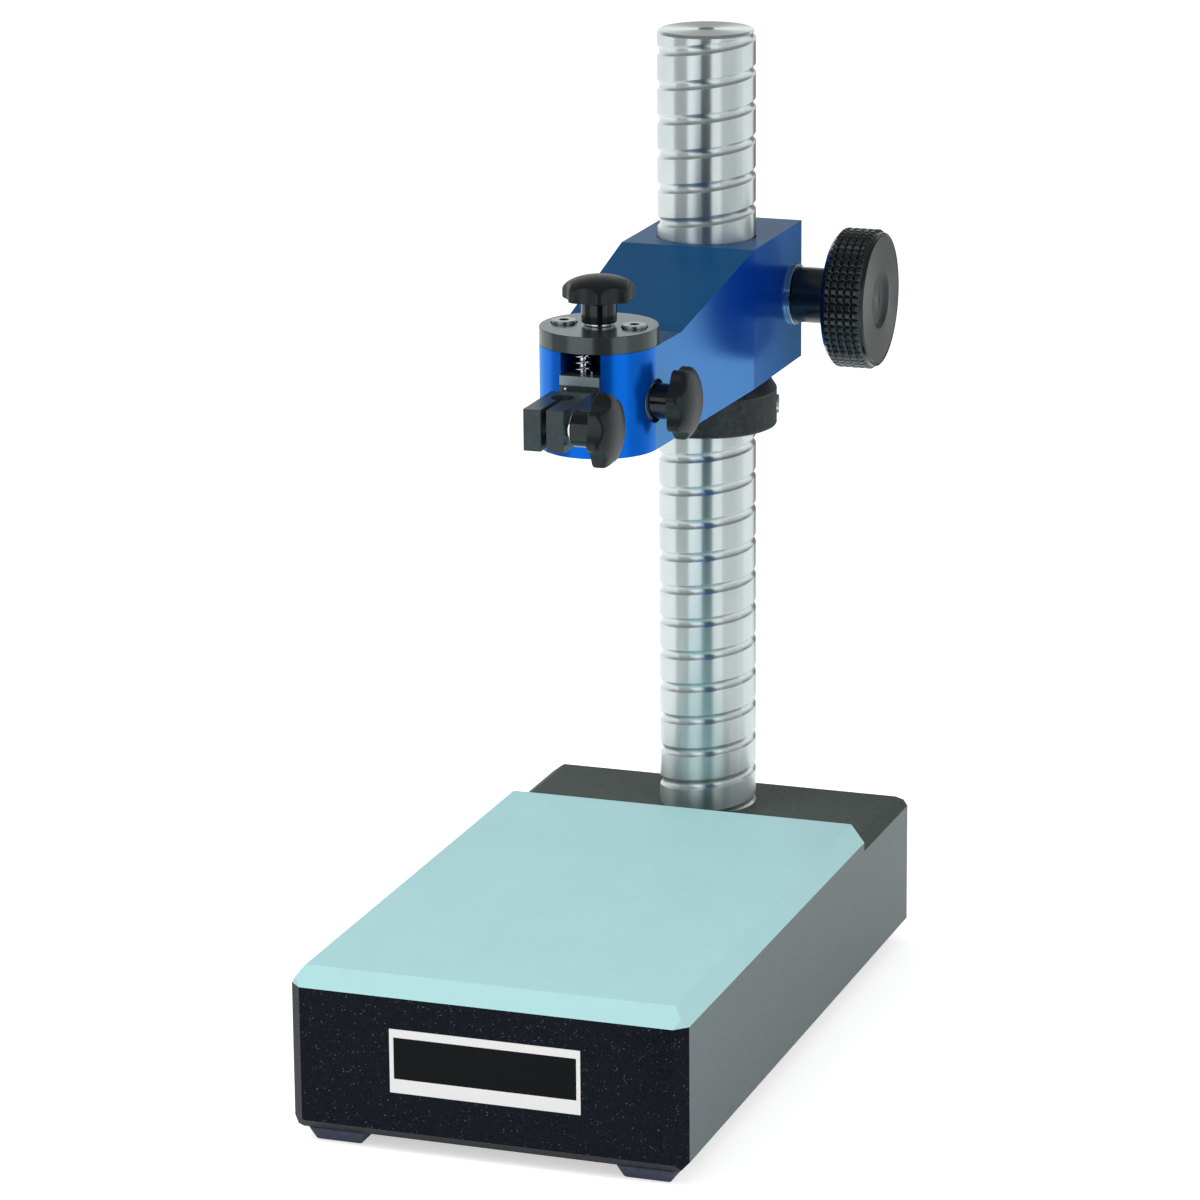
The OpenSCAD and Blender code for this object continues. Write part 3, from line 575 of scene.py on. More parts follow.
def black_steel(name, base, lowest, highest, depth, shine=0.35, wear=1.5):
    """Blackened steel, slightly worn and mottled. wear is how much lighter the worn spots are."""
    s = Shader(name, base, 0.35, 0.4, Specular_IOR_Level=shine, Specular_Tint=COOL_SHINE)
    lighter = tuple(c * wear for c in base)
    s.color(s.ramp(s.noise(420, 5, rough=0.7), (0.35, base), (0.7, lighter)))
    s.roughness(s.noise(1500, 4), lowest, highest)
    return s.bump(s.noise(3500), depth, 0.5)


def knob_plastic(name, lowest, highest, shine):
    """Moulded black plastic."""
    s = Shader(name, (0.005, 0.006, 0.006), 0.0, 0.26, Specular_IOR_Level=shine,
               Specular_Tint=COOL_SHINE)
    s.color(s.ramp(s.noise(300), (0.3, (0.004, 0.005, 0.005)), (0.7, (0.006, 0.007, 0.007))))
    s.roughness(s.noise(700, 4), lowest, highest)
    return s.bump(s.noise(4200, 2), 0.003 * MM, 0.4)


def faced_black():
    """Black anodised face with the round marks of its turning, which fan its reflections out."""
    s = Shader("faced_black", (0.05, 0.056, 0.056), 0.55, 0.34, Anisotropic=0.85)
    s.turned("X")
    s.roughness(s.noise(1200), 0.28, 0.38)
    return s.bump(s.noise(3500, 2), 0.003 * MM, 0.4)


def flat_print(name, color, shine):
    """Printed label ink."""
    s = Shader(name, color, 0.0, 0.4, Specular_IOR_Level=shine)
    s.roughness(s.noise(800), 0.34, 0.5)
    return s.bump(s.noise(5000, 2), 0.003 * MM, 0.4)


# The front and downward faces take a near-black, nearly shineless copy of the granite: painted
# shade for the dark polished front and the undersides
POLISHED_SHADE = granite("granite_front", (0.004, 0.005, 0.009), (0.009, 0.011, 0.017),
                   (0.10, 0.13, 0.19), 0.2, 0.34, 0.06)
SIDE = granite("granite_side", (0.036, 0.062, 0.066), (0.056, 0.086, 0.090),
               (0.12, 0.16, 0.17), 0.3, 0.42, 0.42)
GROUND = granite("granite_ledge", (0.040, 0.054, 0.047), (0.062, 0.078, 0.068),
                 (0.12, 0.14, 0.12), 0.5, 0.65, 0.3)
PLATE = stone_face()
RUBBER = rubber()
STEEL = turned_steel("turned_steel", (0.64, 0.66, 0.66), 1.0, 0.2, 0.34)
BRIGHT = turned_steel("bright_steel", (0.72, 0.75, 0.75), 1.0, 0.06, 0.14)
DULL = turned_steel("screw_steel", (0.36, 0.41, 0.39), 1.0, 0.2, 0.34)
# Light blue-grey, nearly diffuse colour for the lock screw's spot face: a painted reflection of the
# studio's light in that face
SPOT_SHEEN = turned_steel("spot_face_painted_reflection", (0.50, 0.64, 0.74), 0.0, 0.45, 0.6)
COLUMN = ground_steel()
# One anodised blue in three tones by face, as painted light and shade: brightest on the round head,
# deeper on the flanks and rear, darkest on the top and slope. Their tool marks differ for real
BLUE_LIT = blue_anodised("blue_head_painted_light", (0.0003, 0.100, 0.60), (120, 120, 5200), 0.6, 1.8,
                     (0.1, 0.9, 1.0, 1), 0.2, 0.3)
FLANK_SHADE = blue_anodised("blue_flank_painted_shade", (0.0003, 0.050, 0.44), (4200, 60, 4200), 0.4, 2.4,
                      (0.2, 1.0, 1.0, 1), 0.16, 0.24)
MILLED_SHADE = blue_anodised("blue_top_painted_shade", (0.002, 0.075, 0.20), (60, 4200, 4200), 0.3, 1.25,
                       (0.15, 0.35, 0.5, 1), 0.26, 0.38)
DISC = black_steel("disc_black", (0.034, 0.040, 0.038), 0.14, 0.24, 0.002 * MM, 1.0, 1.12)
SLIDE = black_steel("slide_black", (0.029, 0.038, 0.041), 0.26, 0.4, 0.005 * MM, 0.4, 1.35)
# A much lighter copy of the slider's black for the top band of the tongue's front: a painted
# reflection of the holder bar's top
SLIDE_BAND_SHEEN = black_steel("slide_painted_reflection", (0.20, 0.25, 0.27), 0.3, 0.42, 0.004 * MM, 0.5, 1.1)
RING = black_steel("ring_black", (0.010, 0.011, 0.012), 0.34, 0.5, 0.07 * MM, 0.6, 3.2)
KNURL = black_steel("knurl_black", (0.006, 0.007, 0.007), 0.14, 0.24, 0.003 * MM, 1.0)
FACED = faced_black()
PLASTIC = knob_plastic("knob_plastic", 0.32, 0.44, 0.4)
HUB = knob_plastic("knob_hub", 0.1, 0.18, 0.45)
WHITE = flat_print("print_white", (0.86, 0.86, 0.86), 0.4)
BLACK = flat_print("print_black", (0.004, 0.0045, 0.006), 0.08)
BOLT = black_steel("bolt_black", (0.02, 0.02, 0.022), 0.35, 0.5, 0.01 * MM)


def dress(obj, material, node, leads=True):
    """Gives a piece its finish, unless it is painted already, and the body of its CAD node. The
    piece that leads takes the node's place."""
    if material:
        obj.data.materials.append(material)
    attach(obj, BODY_OF[node])
    if leads:
        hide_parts(node)
    return obj


def paint(obj, choose, *materials):
    """Gives each face the one of the materials that choose picks for it."""
    for material in materials:
        obj.data.materials.append(material)
    for face in obj.data.polygons:
        face.material_index = materials.index(choose(face))


def repaint(node, material):
    """Gives a CAD node that stays a better finish."""
    slots = frame["nodes"][node].data.materials
    slots.clear()
    slots.append(material)


def make_washer(name, node, axis, hole_r, material=BRIGHT, edge=0.15 * MM):
    """A flat ring as large as its CAD node, along the x or z axis."""
    k = "xyz".index(axis)
    origin = Vector((0, *middle(node).yz))
    origin[k] = low(node)[k]
    size = high(node) - low(node)
    radius = size[2 - k] / 2
    profile = [(hole_r, 0), (radius, 0), (radius, size[k]), (hole_r, size[k])]
    ring = revolve(name, rounded(profile, edge), frame_at(origin, axis), 96, closed=True)
    dress(smooth(ring), material, node)


def make_pin(node, axis, edge, segments):
    """A bright pin as large as its CAD node, along the y or z axis."""
    k = "xyz".index(axis)
    origin = middle(node)
    origin[k] = low(node)[k]
    size = high(node) - low(node)
    pin = rod(f"{node}_body", frame_at(origin, axis), size.x / 2, size[k], edge, segments)
    dress(smooth(pin), BRIGHT, node)


# Base


def make_granite():
    lo, hi = BOX["granite_base"]
    past = 2 * MM
    half = math.sqrt(0.5)
    obj = block("granite_block", lo, hi)
    for x in (-1, 1):
        for y, edge in ((-1, lo.y), (1, hi.y)):
            slice_off(obj, (x * (hi.x - CORNER_CUT), edge, 0), (x * half, y * half, 0))
        slice_off(obj, (x * hi.x, 0, lo.z + UNDER_CUT), (x * half, 0, -half))
    for y, edge in ((-1, lo.y), (1, hi.y)):
        slice_off(obj, (0, edge, lo.z + UNDER_CUT), (0, y * half, -half))
    slice_off(obj, (0, hi.y, hi.z - LEDGE_CUT_H), (0, LEDGE_CUT_H, LEDGE_CUT_W))
    inner = hi.x - LEDGE_CUT_W
    outer = hi.x + past
    foot = hi.z - LEDGE_CUT_H
    wedge = [(inner, hi.z), (hi.x, foot), (outer, foot), (outer, hi.z + past),
             (inner, hi.z + past)]
    for side in (-1, 1):
        outline = [(side * x, z) for x, z in wedge]
        cut(obj, prism("tool", outline, "y", PLATE_Y, hi.y + past))
    socket = low("column").z
    drill(obj, COL_AXIS, COL_R + FIT, socket, hi.z + past)
    drill(obj, COL_AXIS, BOLT_HOLE_R, lo.z - past, socket + past)
    drill(obj, COL_AXIS, BOLT_SEAT_R, lo.z - past, high("column_washer").z)
    label_lo, label_hi = BOX["blank_label"]
    margin = Vector((FIT, 0, FIT))
    cut(obj, block("tool", label_lo - margin - Vector((0, past, 0)), label_hi + margin))
    soften(obj, 0.35 * MM)

    # Tones by face direction: the front and downward faces take the near-black copy as painted
    # shade, the top ledge and the other sides lighter copies
    def finish(face):
        if face.normal.y < -0.4 or face.normal.z < -0.4:
            return POLISHED_SHADE
        return GROUND if face.normal.z > 0.5 else SIDE

    paint(obj, finish, POLISHED_SHADE, SIDE, GROUND)
    dress(obj, None, "granite_base")


def make_plate():
    lo, hi = BOX["measuring_plate"]
    half = math.sqrt(0.5)
    rise = hi.z - lo.z
    obj = block("plate_slab", lo, hi)
    for x in (-1, 1):
        slice_off(obj, (x * (hi.x - CORNER_CUT), lo.y, 0), (x * half, -half, 0))
        slice_off(obj, (x * hi.x, 0, lo.z), (x * rise, 0, PLATE_CUT))
    slice_off(obj, (0, lo.y, lo.z), (0, -rise, PLATE_CUT))
    dress(soften(obj, 0.25 * MM), PLATE, "measuring_plate")


def make_feet():
    """Four tapered feet, one at each corner."""
    lo, hi = BOX["rubber_feet"]
    wide = 20.5 * MM
    narrow = 16 * MM
    for k, (x, y) in enumerate(CORNERS):
        cx = x * (hi.x - wide / 2)
        cy = lo.y + wide / 2 if y < 0 else hi.y - wide / 2
        lower, upper = ([(cx + a * w / 2, cy + b * w / 2, z) for a, b in CORNERS]
                        for z, w in ((lo.z, narrow), (hi.z, wide)))
        foot = soften(loft(f"foot_{k + 1}", lower, upper), 0.9 * MM, 4)
        dress(foot, RUBBER, "rubber_feet", leads=k == 0)


def make_label():
    """Blank label: a white border round a sunk black field."""
    lo, hi = BOX["blank_label"]
    border = 1.4 * MM
    head = 2.9 * MM
    strip = 4.8 * MM
    sunk = 0.15 * MM
    past = 1 * MM
    obj = block("label_plate", lo, hi)
    inner_lo = Vector((lo.x + border, lo.y - past, lo.z + strip))
    inner_hi = Vector((hi.x - border, lo.y + sunk, hi.z - head))
    cut(obj, block("tool", inner_lo, inner_hi))
    soften(obj, 0.05 * MM, 1)

    def finish(face):
        field = face.normal.y < -0.9 and abs(face.center.y - (lo.y + sunk)) < 0.02 * MM
        return BLACK if field else WHITE

    paint(obj, finish, WHITE, BLACK)
    dress(obj, None, "blank_label")


def groove_profile():
    """The groove's round bottom and its lips, as (height from the groove's middle, radius)."""
    steps = 12
    lip = 0.18 * MM
    lip_drop = 0.05 * MM
    arc = (GROOVE_W ** 2 / 4 + GROOVE_DEPTH ** 2) / (2 * GROOVE_DEPTH)
    points = []
    for k in range(steps + 1):
        u = GROOVE_W * (k / steps - 0.5)
        depth = math.sqrt(arc ** 2 - u ** 2) - (arc - GROOVE_DEPTH)
        points.append((u, COL_R - max(depth, 0.0)))
    points[0] = (points[0][0], COL_R - lip_drop)
    points[-1] = (points[-1][0], COL_R - lip_drop)
    return [(-GROOVE_W / 2 - lip, COL_R)] + points + [(GROOVE_W / 2 + lip, COL_R)]


def make_column():
    """The column's wall is one strip that follows the helix, so the groove's edges stay crisp."""
    bottom = low("column").z
    steps = 96
    sides = 64
    chamfer = 1 * MM
    spare = 1.5
    profile = groove_profile()
    land_start = profile[-1][0]
    land_end = GROOVE_PITCH + profile[0][0]
    for k in range(1, 3):
        profile.append((land_start + (land_end - land_start) * k / 3, COL_R))
    first = math.floor((bottom - GUIDE_Z) / GROOVE_PITCH - spare) * steps
    last = math.ceil((COL_TOP - GUIDE_Z) / GROOVE_PITCH + spare) * steps
    bm = helical_wall(profile, GROOVE_PITCH, steps, first, last, GUIDE_ANGLE, GUIDE_Z, COL_Y)
    trim_ends(bm, bottom, COL_TOP)
    bisect(bm, (0, 0, COL_TOP - chamfer), UP)
    for v in bm.verts:
        limit = COL_R - max(0.0, v.co.z - (COL_TOP - chamfer))
        r = math.hypot(v.co.x, v.co.y - COL_Y)
        if r > limit:
            v.co.x *= limit / r
            v.co.y = COL_Y + (v.co.y - COL_Y) * limit / r
    bottom_rim, top_rim = open_rims(bm, bottom, COL_TOP, 0.001 * MM)
    bmesh.ops.edgenet_fill(bm, edges=bottom_rim)
    loops = []
    for r, z in TOP_HOLE:
        loops.append([bm.verts.new((r * math.cos(2 * math.pi * k / sides),
                                    COL_Y + r * math.sin(2 * math.pi * k / sides),
                                    COL_TOP - z)) for k in range(sides)])
    mouth = [bm.edges.new((loops[0][k], loops[0][(k + 1) % sides])) for k in range(sides)]
    bmesh.ops.bridge_loops(bm, edges=top_rim + mouth)
    for upper, lower in zip(loops, loops[1:]):
        skin(bm, upper, lower)
    bm.faces.new(loops[-1])
    obj = smooth(link("column_shaft", bm), math.radians(40))
    dress(obj, COLUMN, "column")


# Height adjustment


def make_ring():
    """Black ring with a diamond-knurled band and a sloped shoulder over it."""
    lo, hi = BOX["height_ring"]
    r = (hi.x - lo.x) / 2
    top = hi.z - lo.z
    bore = COL_R + FIT
    mouth = 0.4 * MM
    band = 14 * MM
    knurl_start = 1.0 * MM
    knurl_end = band - 0.6 * MM
    knurl_depth = 0.22 * MM
    teeth = 150
    rows = 26
    rings = [(bore, mouth), (bore + mouth, 0), (r - 1.2 * MM, 0), (r - 0.3 * MM, 0.4 * MM)]
    start = len(rings)
    for k in range(rows + 1):
        rings.append((r, knurl_start + (knurl_end - knurl_start) * k / rows))
    end = len(rings)
    rings += [(r - 0.3 * MM, band), (r - 0.8 * MM, band + 0.7 * MM), (r - 2 * MM, top - 0.3 * MM),
              (r - 2.4 * MM, top), (bore + mouth, top), (bore, top - mouth)]

    def diamond(angle, k):
        base = rings[k][0]
        if not start < k < end - 1:
            return base
        along = (k - start) / 2
        around = angle / (2 * math.pi) * teeth
        u = abs(((around + along) % 1) - 0.5) * 2
        v = abs(((around - along) % 1) - 0.5) * 2
        return base - knurl_depth * max(u, v)

    at = frame_at((0, COL_Y, lo.z), "z")
    obj = revolve("ring_body", rings, at, teeth * 4, closed=True, shape=diamond)
    drill(obj, guide_frame(), GUIDE_SCREW_R + 0.1 * MM, COL_R - 1 * MM, r + 3 * MM)
    dress(smooth(obj), RING, "height_ring")


def make_guide_screw():
    """Set screw with a hexagonal socket. Its cone runs in the column's groove."""
    outer = 25.8 * MM
    shoulder = COL_R + 0.3 * MM
    tip = COL_R - 0.6 * MM
    profile = [(0, tip), (0.1 * MM, tip), (1.4 * MM, shoulder), (GUIDE_SCREW_R, shoulder),
               (GUIDE_SCREW_R, outer), (0, outer)]
    profile = rounded(profile, 0.35 * MM, closed=False)
    obj = revolve("guide_screw_body", profile, guide_frame(), 48)
    cut(obj, hexagon(guide_frame(), outer, KEY_W, 3 * MM))
    dress(smooth(obj), STEEL, "guide_screw")


# Arm


def arm_outline(steps=72):
    """Plan of the arm: a square back, tapered sides and the round head they run into."""
    brow = COL_Y - ARM_BROW
    rear = high("arm").y
    rise = brow - HEAD_Y
    touch = math.atan2(rise, ARM_HALF) - math.acos(HEAD_R / math.hypot(ARM_HALF, rise))
    points = [(ARM_HALF, brow), (ARM_HALF, rear), (-ARM_HALF, rear), (-ARM_HALF, brow)]
    start = math.pi - touch
    sweep = math.pi + 2 * touch
    for k in range(steps + 1):
        a = start + sweep * k / steps
        points.append((HEAD_R * math.cos(a), HEAD_Y + HEAD_R * math.sin(a)))
    return points


def make_arm():
    past = 2 * MM
    mouth = 0.6 * MM
    far_wall = 5 * MM
    under_screw = 1.3 * MM
    brow = COL_Y - ARM_BROW
    flat_end = HEAD_Y + HEAD_FLAT
    tip = HEAD_Y - HEAD_R - past
    obj = prism("arm_body", arm_outline(), "z", ARM_Z, ARM_TOP)
    above = [(tip, HEAD_Z), (flat_end, HEAD_Z), (brow, ARM_TOP), (brow, ARM_TOP + past),
             (tip, ARM_TOP + past)]
    cut(obj, prism("tool", above, "x", -ARM_HALF - past, ARM_HALF + past))
    bore = COL_R + FIT
    flared = bore + mouth + past
    profile = [(0, ARM_Z - past), (flared, ARM_Z - past), (bore, ARM_Z + mouth),
               (bore, ARM_TOP - mouth), (flared, ARM_TOP + past), (0, ARM_TOP + past)]
    cut(obj, revolve("tool", profile, COL_AXIS, 128))
    cut(obj, block("tool", (-SLIT_W / 2, COL_Y, ARM_Z - past),
                   (SLIT_W / 2, high("arm").y + past, ARM_TOP + past)))
    clamp = middle("clamp_washer")
    across = frame_at((0, clamp.y, clamp.z), "x")
    drill(obj, across, M8_EASY_R, 0, ARM_HALF + past)
    drill(obj, across, M8_HOLE_R, -ARM_HALF + far_wall, past)
    floor = ARM_Z + GUIDE_FLOOR
    drill(obj, HEAD_AXIS, GUIDE_BORE_R, floor, HEAD_Z + past, 96)
    slot = TONGUE_W / 2 + FIT
    cut(obj, block("tool", (-slot, tip, floor), (slot, HEAD_Y, HEAD_Z + past)))
    for axis in SCREW_AXES:
        drill(obj, axis, M5_HOLE_R, low("disc_screws").z - under_screw, HEAD_Z + past)
    side = frame_at((0, HEAD_Y, middle("lock_screw").z), "x")
    drill(obj, side, M5_HOLE_R, 0, ARM_HALF)
    drill(obj, side, SPOT_R, SPOT_X, ARM_HALF, 96)

    def on_slope_end(a, b):
        return any(max(abs(a.y - y), abs(b.y - y)) < 0.02 * MM for y in (brow, flat_end))

    # The head takes the brightest blue, the flanks and rear a deeper one and the top and slope the
    # darkest: painted light and shade on one anodised finish
    def finish(face):
        x, y, _ = face.center
        if face.normal.z < 0.9 and math.hypot(x, y - COL_Y) < bore + mouth:
            return SLIDE
        # The spot face round the lock screw takes the painted reflection
        if face.normal.x > 0.99 and abs(x - SPOT_X) < 0.05 * MM:
            return SPOT_SHEEN
        if face.normal.z > 0.9:
            return MILLED_SHADE
        return FLANK_SHADE if y > HEAD_Y + 3 * MM else BLUE_LIT

    soften(obj, 0.38 * MM, 1, crisp=on_slope_end)
    paint(obj, finish, BLUE_LIT, FLANK_SHADE, MILLED_SHADE, SPOT_SHEEN, SLIDE)
    dress(obj, None, "arm")


def make_disc():
    lo, hi = BOX["head_disc"]
    past = 1 * MM
    shank = 2.9 * MM
    head = 4.65 * MM
    thick = hi.z - lo.z
    at = frame_at((0, HEAD_Y, lo.z), "z")
    profile = [(M5_HOLE_R, 0), (HEAD_R, 0), (HEAD_R, thick), (M5_HOLE_R, thick)]
    obj = revolve("disc_body", rounded(profile, 0.35 * MM), at, 128, closed=True)
    for axis in SCREW_AXES:
        drill(obj, axis, shank, lo.z - past, hi.z + past)
        drill(obj, axis, head, high("disc_screws").z - SCREW_HEAD_H, hi.z + past)
    pin_lo, pin_hi = BOX["spring_pin"]
    pocket = (pin_hi.x - pin_lo.x) / 2 + PIN_GAP
    drill(obj, PIN_AXIS, pocket, lo.z - past, hi.z - PIN_ROOF)
    dress(soften(obj, 0.12 * MM), DISC, "head_disc")


def make_disc_screws():
    """Two low-head socket screws, each turned its own way."""
    bottom = low("disc_screws").z
    top = high("disc_screws").z
    seat = top - SCREW_HEAD_H
    shank = 2.5 * MM
    head = 4.25 * MM
    profile = rounded([(0, bottom), (shank, bottom), (shank, seat), (head, seat), (head, top),
                       (0, top)], 0.35 * MM, closed=False)
    for k, axis in enumerate(SCREW_AXES):
        obj = revolve(f"disc_screw_{k + 1}", profile, axis, 64)
        turned = axis @ Matrix.Rotation(math.radians(20 + 35 * k), 4, "Z")
        cut(obj, hexagon(turned, top, KEY_W, 2.2 * MM))
        dress(smooth(obj), DULL, "disc_screws", leads=k == 0)


# Knobs


def star_rings():
    """Rings of the star knob from its hub's end to the top of its dome, over the ridges."""
    edge = 0.6 * MM
    flare = 1.2 * MM
    under_lobes = (8, 9.2, 10, 10.6, 11.2)
    edge_steps = 3
    dome_steps = 24
    start = STAR_HUB_H
    rim = start + STAR_WALL
    rings = [(0, 0), (STAR_HUB_R - 0.6 * MM, 0), (STAR_HUB_R - 0.2 * MM, 0.15 * MM),
             (STAR_HUB_R, 0.6 * MM), (STAR_HUB_R, start - flare),
             (STAR_HUB_R + 0.12 * MM, start - flare / 2), (STAR_HUB_R + 0.5 * MM, start)]
    rings += [(r * MM, start) for r in under_lobes]
    for k in range(edge_steps + 1):
        a = math.radians(90 * k / edge_steps)
        rings.append((STAR_R - edge + edge * math.sin(a), start + edge - edge * math.cos(a)))
    rings += [(STAR_R, start + STAR_WALL * share) for share in (0.5, 0.75)]
    for k in range(dome_steps + 1):
        a = math.radians(90 * k / dome_steps)
        rings.append((STAR_R * math.cos(a), rim + (STAR_H - STAR_WALL) * math.sin(a)))
    rings[-1] = (0, start + STAR_H)
    return rings


def soft_least(a, b, blend):
    """The smaller of two lengths, rounded off where they meet."""
    h = min(1.0, max(0.0, 0.5 + 0.5 * (b - a) / blend))
    return b * (1 - h) + a * h - blend * h * (1 - h)


def make_star(name, node, origin, axis, ridge):
    """Star knob along an axis. One of its ridges points along the given angle from that frame's
    own +X."""
    at = frame_at(origin, axis)
    rings = star_rings()
    centre = STAR_R - NOTCH_DEPTH + NOTCH_R
    pitch = 2 * math.pi / STAR_RIDGES
    blend = 1.1 * MM

    def hollow(angle):
        """Distance from the axis to the hollow's wall."""
        off = abs((angle - ridge) % pitch - pitch / 2)
        under = NOTCH_R ** 2 - (centre * math.sin(off)) ** 2
        return centre * math.cos(off) - math.sqrt(max(under, 0.0))

    def ridged(angle, k):
        r, z = rings[k]
        if z < STAR_HUB_H - 0.01 * MM or r < 1 * MM:
            return r
        return soft_least(r, hollow(angle), blend)

    obj = smooth(revolve(name, rings, at, STAR_RIDGES * 28, shape=ridged), math.radians(60))
    out = at.inverted()
    hub_end = STAR_HUB_H - 0.1 * MM
    paint(obj, lambda face: HUB if (out @ face.center).z < hub_end else PLASTIC, PLASTIC, HUB)
    dress(obj, None, node)


def make_clamp_knob():
    """Hub, knurled rim and dished face as one turned form."""
    centre = middle("clamp_knob")
    seat = low("clamp_knob").x
    hub = CLAMP_HUB_L
    width = 16 * MM
    face = hub + width
    edge = 1.3 * MM
    dish = 10 * MM
    teeth = 56
    rows = 5
    fine = 8
    pad = 0.6
    wall = 0.32
    depth = 0.75 * MM
    end_fall = 0.25 * MM
    rings = [(0, 0), (CLAMP_HUB_R - 0.4 * MM, 0), (CLAMP_HUB_R, 0.4 * MM),
             (CLAMP_HUB_R, hub - 1 * MM), (CLAMP_HUB_R + 0.6 * MM, hub),
             (CLAMP_R - 3.2 * MM, hub), (CLAMP_R - 2.4 * MM, hub + 0.1 * MM)]
    start = len(rings)
    for k in range(rows * fine + 1):
        rings.append((CLAMP_R, hub + edge + (width - 2 * edge) * k / (rows * fine)))
    end = len(rings)
    rim = ((1.1, 0.25), (1.6, 0.7), (2.1, 0.7), (2.5, 0.1), (2.9, 0))
    rings += [(CLAMP_R - inset * MM, face - down * MM) for inset, down in rim]
    hollow = ((-1.2, 0), (-0.5, 0.12), (0, 0.6), (0.8, 1.6), (2.0, 2.2), (3.5, 2.4))
    rings += [(dish - inset * MM, face - down * MM) for inset, down in hollow]
    rings.append((0, face - 2.5 * MM))

    def groove(t):
        """0 on a pad and 1 in the groove between two."""
        s = abs((t % 1) - 0.5) * 2
        return min(1.0, max(0.0, (s - pad) / wall))

    def pads(angle, k):
        base = rings[k][0]
        if not start <= k < end:
            return base
        along = (k - start) / fine
        around = angle / (2 * math.pi) * teeth
        fall = 0.0 if start + 2 < k < end - 3 else end_fall
        return base - depth * max(groove(around), groove(along)) - fall

    def finish(polygon):
        x, y, z = polygon.center
        inside = math.hypot(y - centre.y, z - centre.z) < CLAMP_R - 1.6 * MM
        faced = polygon.normal.x > 0.6 and x > seat + hub + width / 2 and inside
        return FACED if faced else KNURL

    at = frame_at((seat, centre.y, centre.z), "x")
    obj = smooth(revolve("clamp_knob_body", rings, at, teeth * fine, shape=pads))
    paint(obj, finish, KNURL, FACED)
    dress(obj, None, "clamp_knob")


# Fine adjustment and holder


def threaded(name, at, radius, pitch, start, end, depth):
    """A threaded rod between two heights on the matrix's +Z, built as one helical strip."""
    steps = 40
    spare = 2
    root = radius - depth
    profile = [(share * pitch, r) for share, r in
               ((0.0, root), (0.12, root), (0.44, radius), (0.56, radius), (0.88, root))]
    last = math.ceil(((end - start) / pitch + spare) * steps)
    bm = helical_wall(profile, pitch, steps, -spare * steps, last, base=start)
    trim_ends(bm, start, end)
    for rim in open_rims(bm, start, end, 0.0005 * MM):
        bmesh.ops.edgenet_fill(bm, edges=rim)
    bm.transform(at)
    return link(name, bm)


def make_screw(name, node, pitch):
    """A threaded stud along +X, as long as its CAD node."""
    lo, hi = BOX[node]
    at = frame_at((0, middle(node).y, middle(node).z), "x")
    obj = threaded(name, at, (hi.z - lo.z) / 2, pitch, lo.x, hi.x, 0.55 * pitch)
    dress(smooth(obj, THREAD_ANGLE), STEEL, node)


def make_spindle():
    """Thread below, then a flange under the disc and the shank to the knob."""
    lo, hi = BOX["fine_spindle"]
    flange = (hi.x - lo.x) / 2
    under = HEAD_Z - 1 * MM
    shank = 2.5 * MM
    pitch = 0.7 * MM
    depth = 0.38 * MM
    screw = threaded("spindle_thread", HEAD_AXIS, SPINDLE_R, pitch, lo.z, under, depth)
    dress(smooth(screw, THREAD_ANGLE), BOLT, "fine_spindle")
    profile = [(0, under), (flange, under), (flange, HEAD_Z), (shank, HEAD_Z), (shank, hi.z),
               (0, hi.z)]
    head = revolve("spindle_shank", rounded(profile, 0.15 * MM, closed=False), HEAD_AXIS, 64)
    dress(smooth(head), BOLT, "fine_spindle", leads=False)


def make_spring():
    """Coil of round wire round the guide pin, standing on the slider under the arm's disc. It is
    built in place, joins no body and keeps its shape."""
    lo, hi = BOX["fine_spring"]
    place = middle("spring_pin").y
    coil = hi.x - SPRING_WIRE_R
    climb = hi.z - lo.z - 2 * SPRING_WIRE_R
    steps = 150
    sides = 12
    bm = bmesh.new()
    rows = []
    for i in range(steps + 1):
        a = 2 * math.pi * SPRING_TURNS * i / steps
        z = lo.z + SPRING_WIRE_R + climb * i / steps
        row = []
        for j in range(sides):
            b = 2 * math.pi * j / sides
            r = coil + SPRING_WIRE_R * math.cos(b)
            row.append(bm.verts.new((r * math.cos(a), place + r * math.sin(a),
                                     z + SPRING_WIRE_R * math.sin(b))))
        rows.append(row)
    for lower, upper in zip(rows, rows[1:]):
        skin(bm, lower, upper)
    bm.faces.new(rows[0])
    bm.faces.new(rows[-1])
    obj = smooth(link("spring_coil", bm), math.radians(60))
    obj.data.materials.append(BRIGHT)
    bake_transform(obj)
    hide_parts("fine_spring")


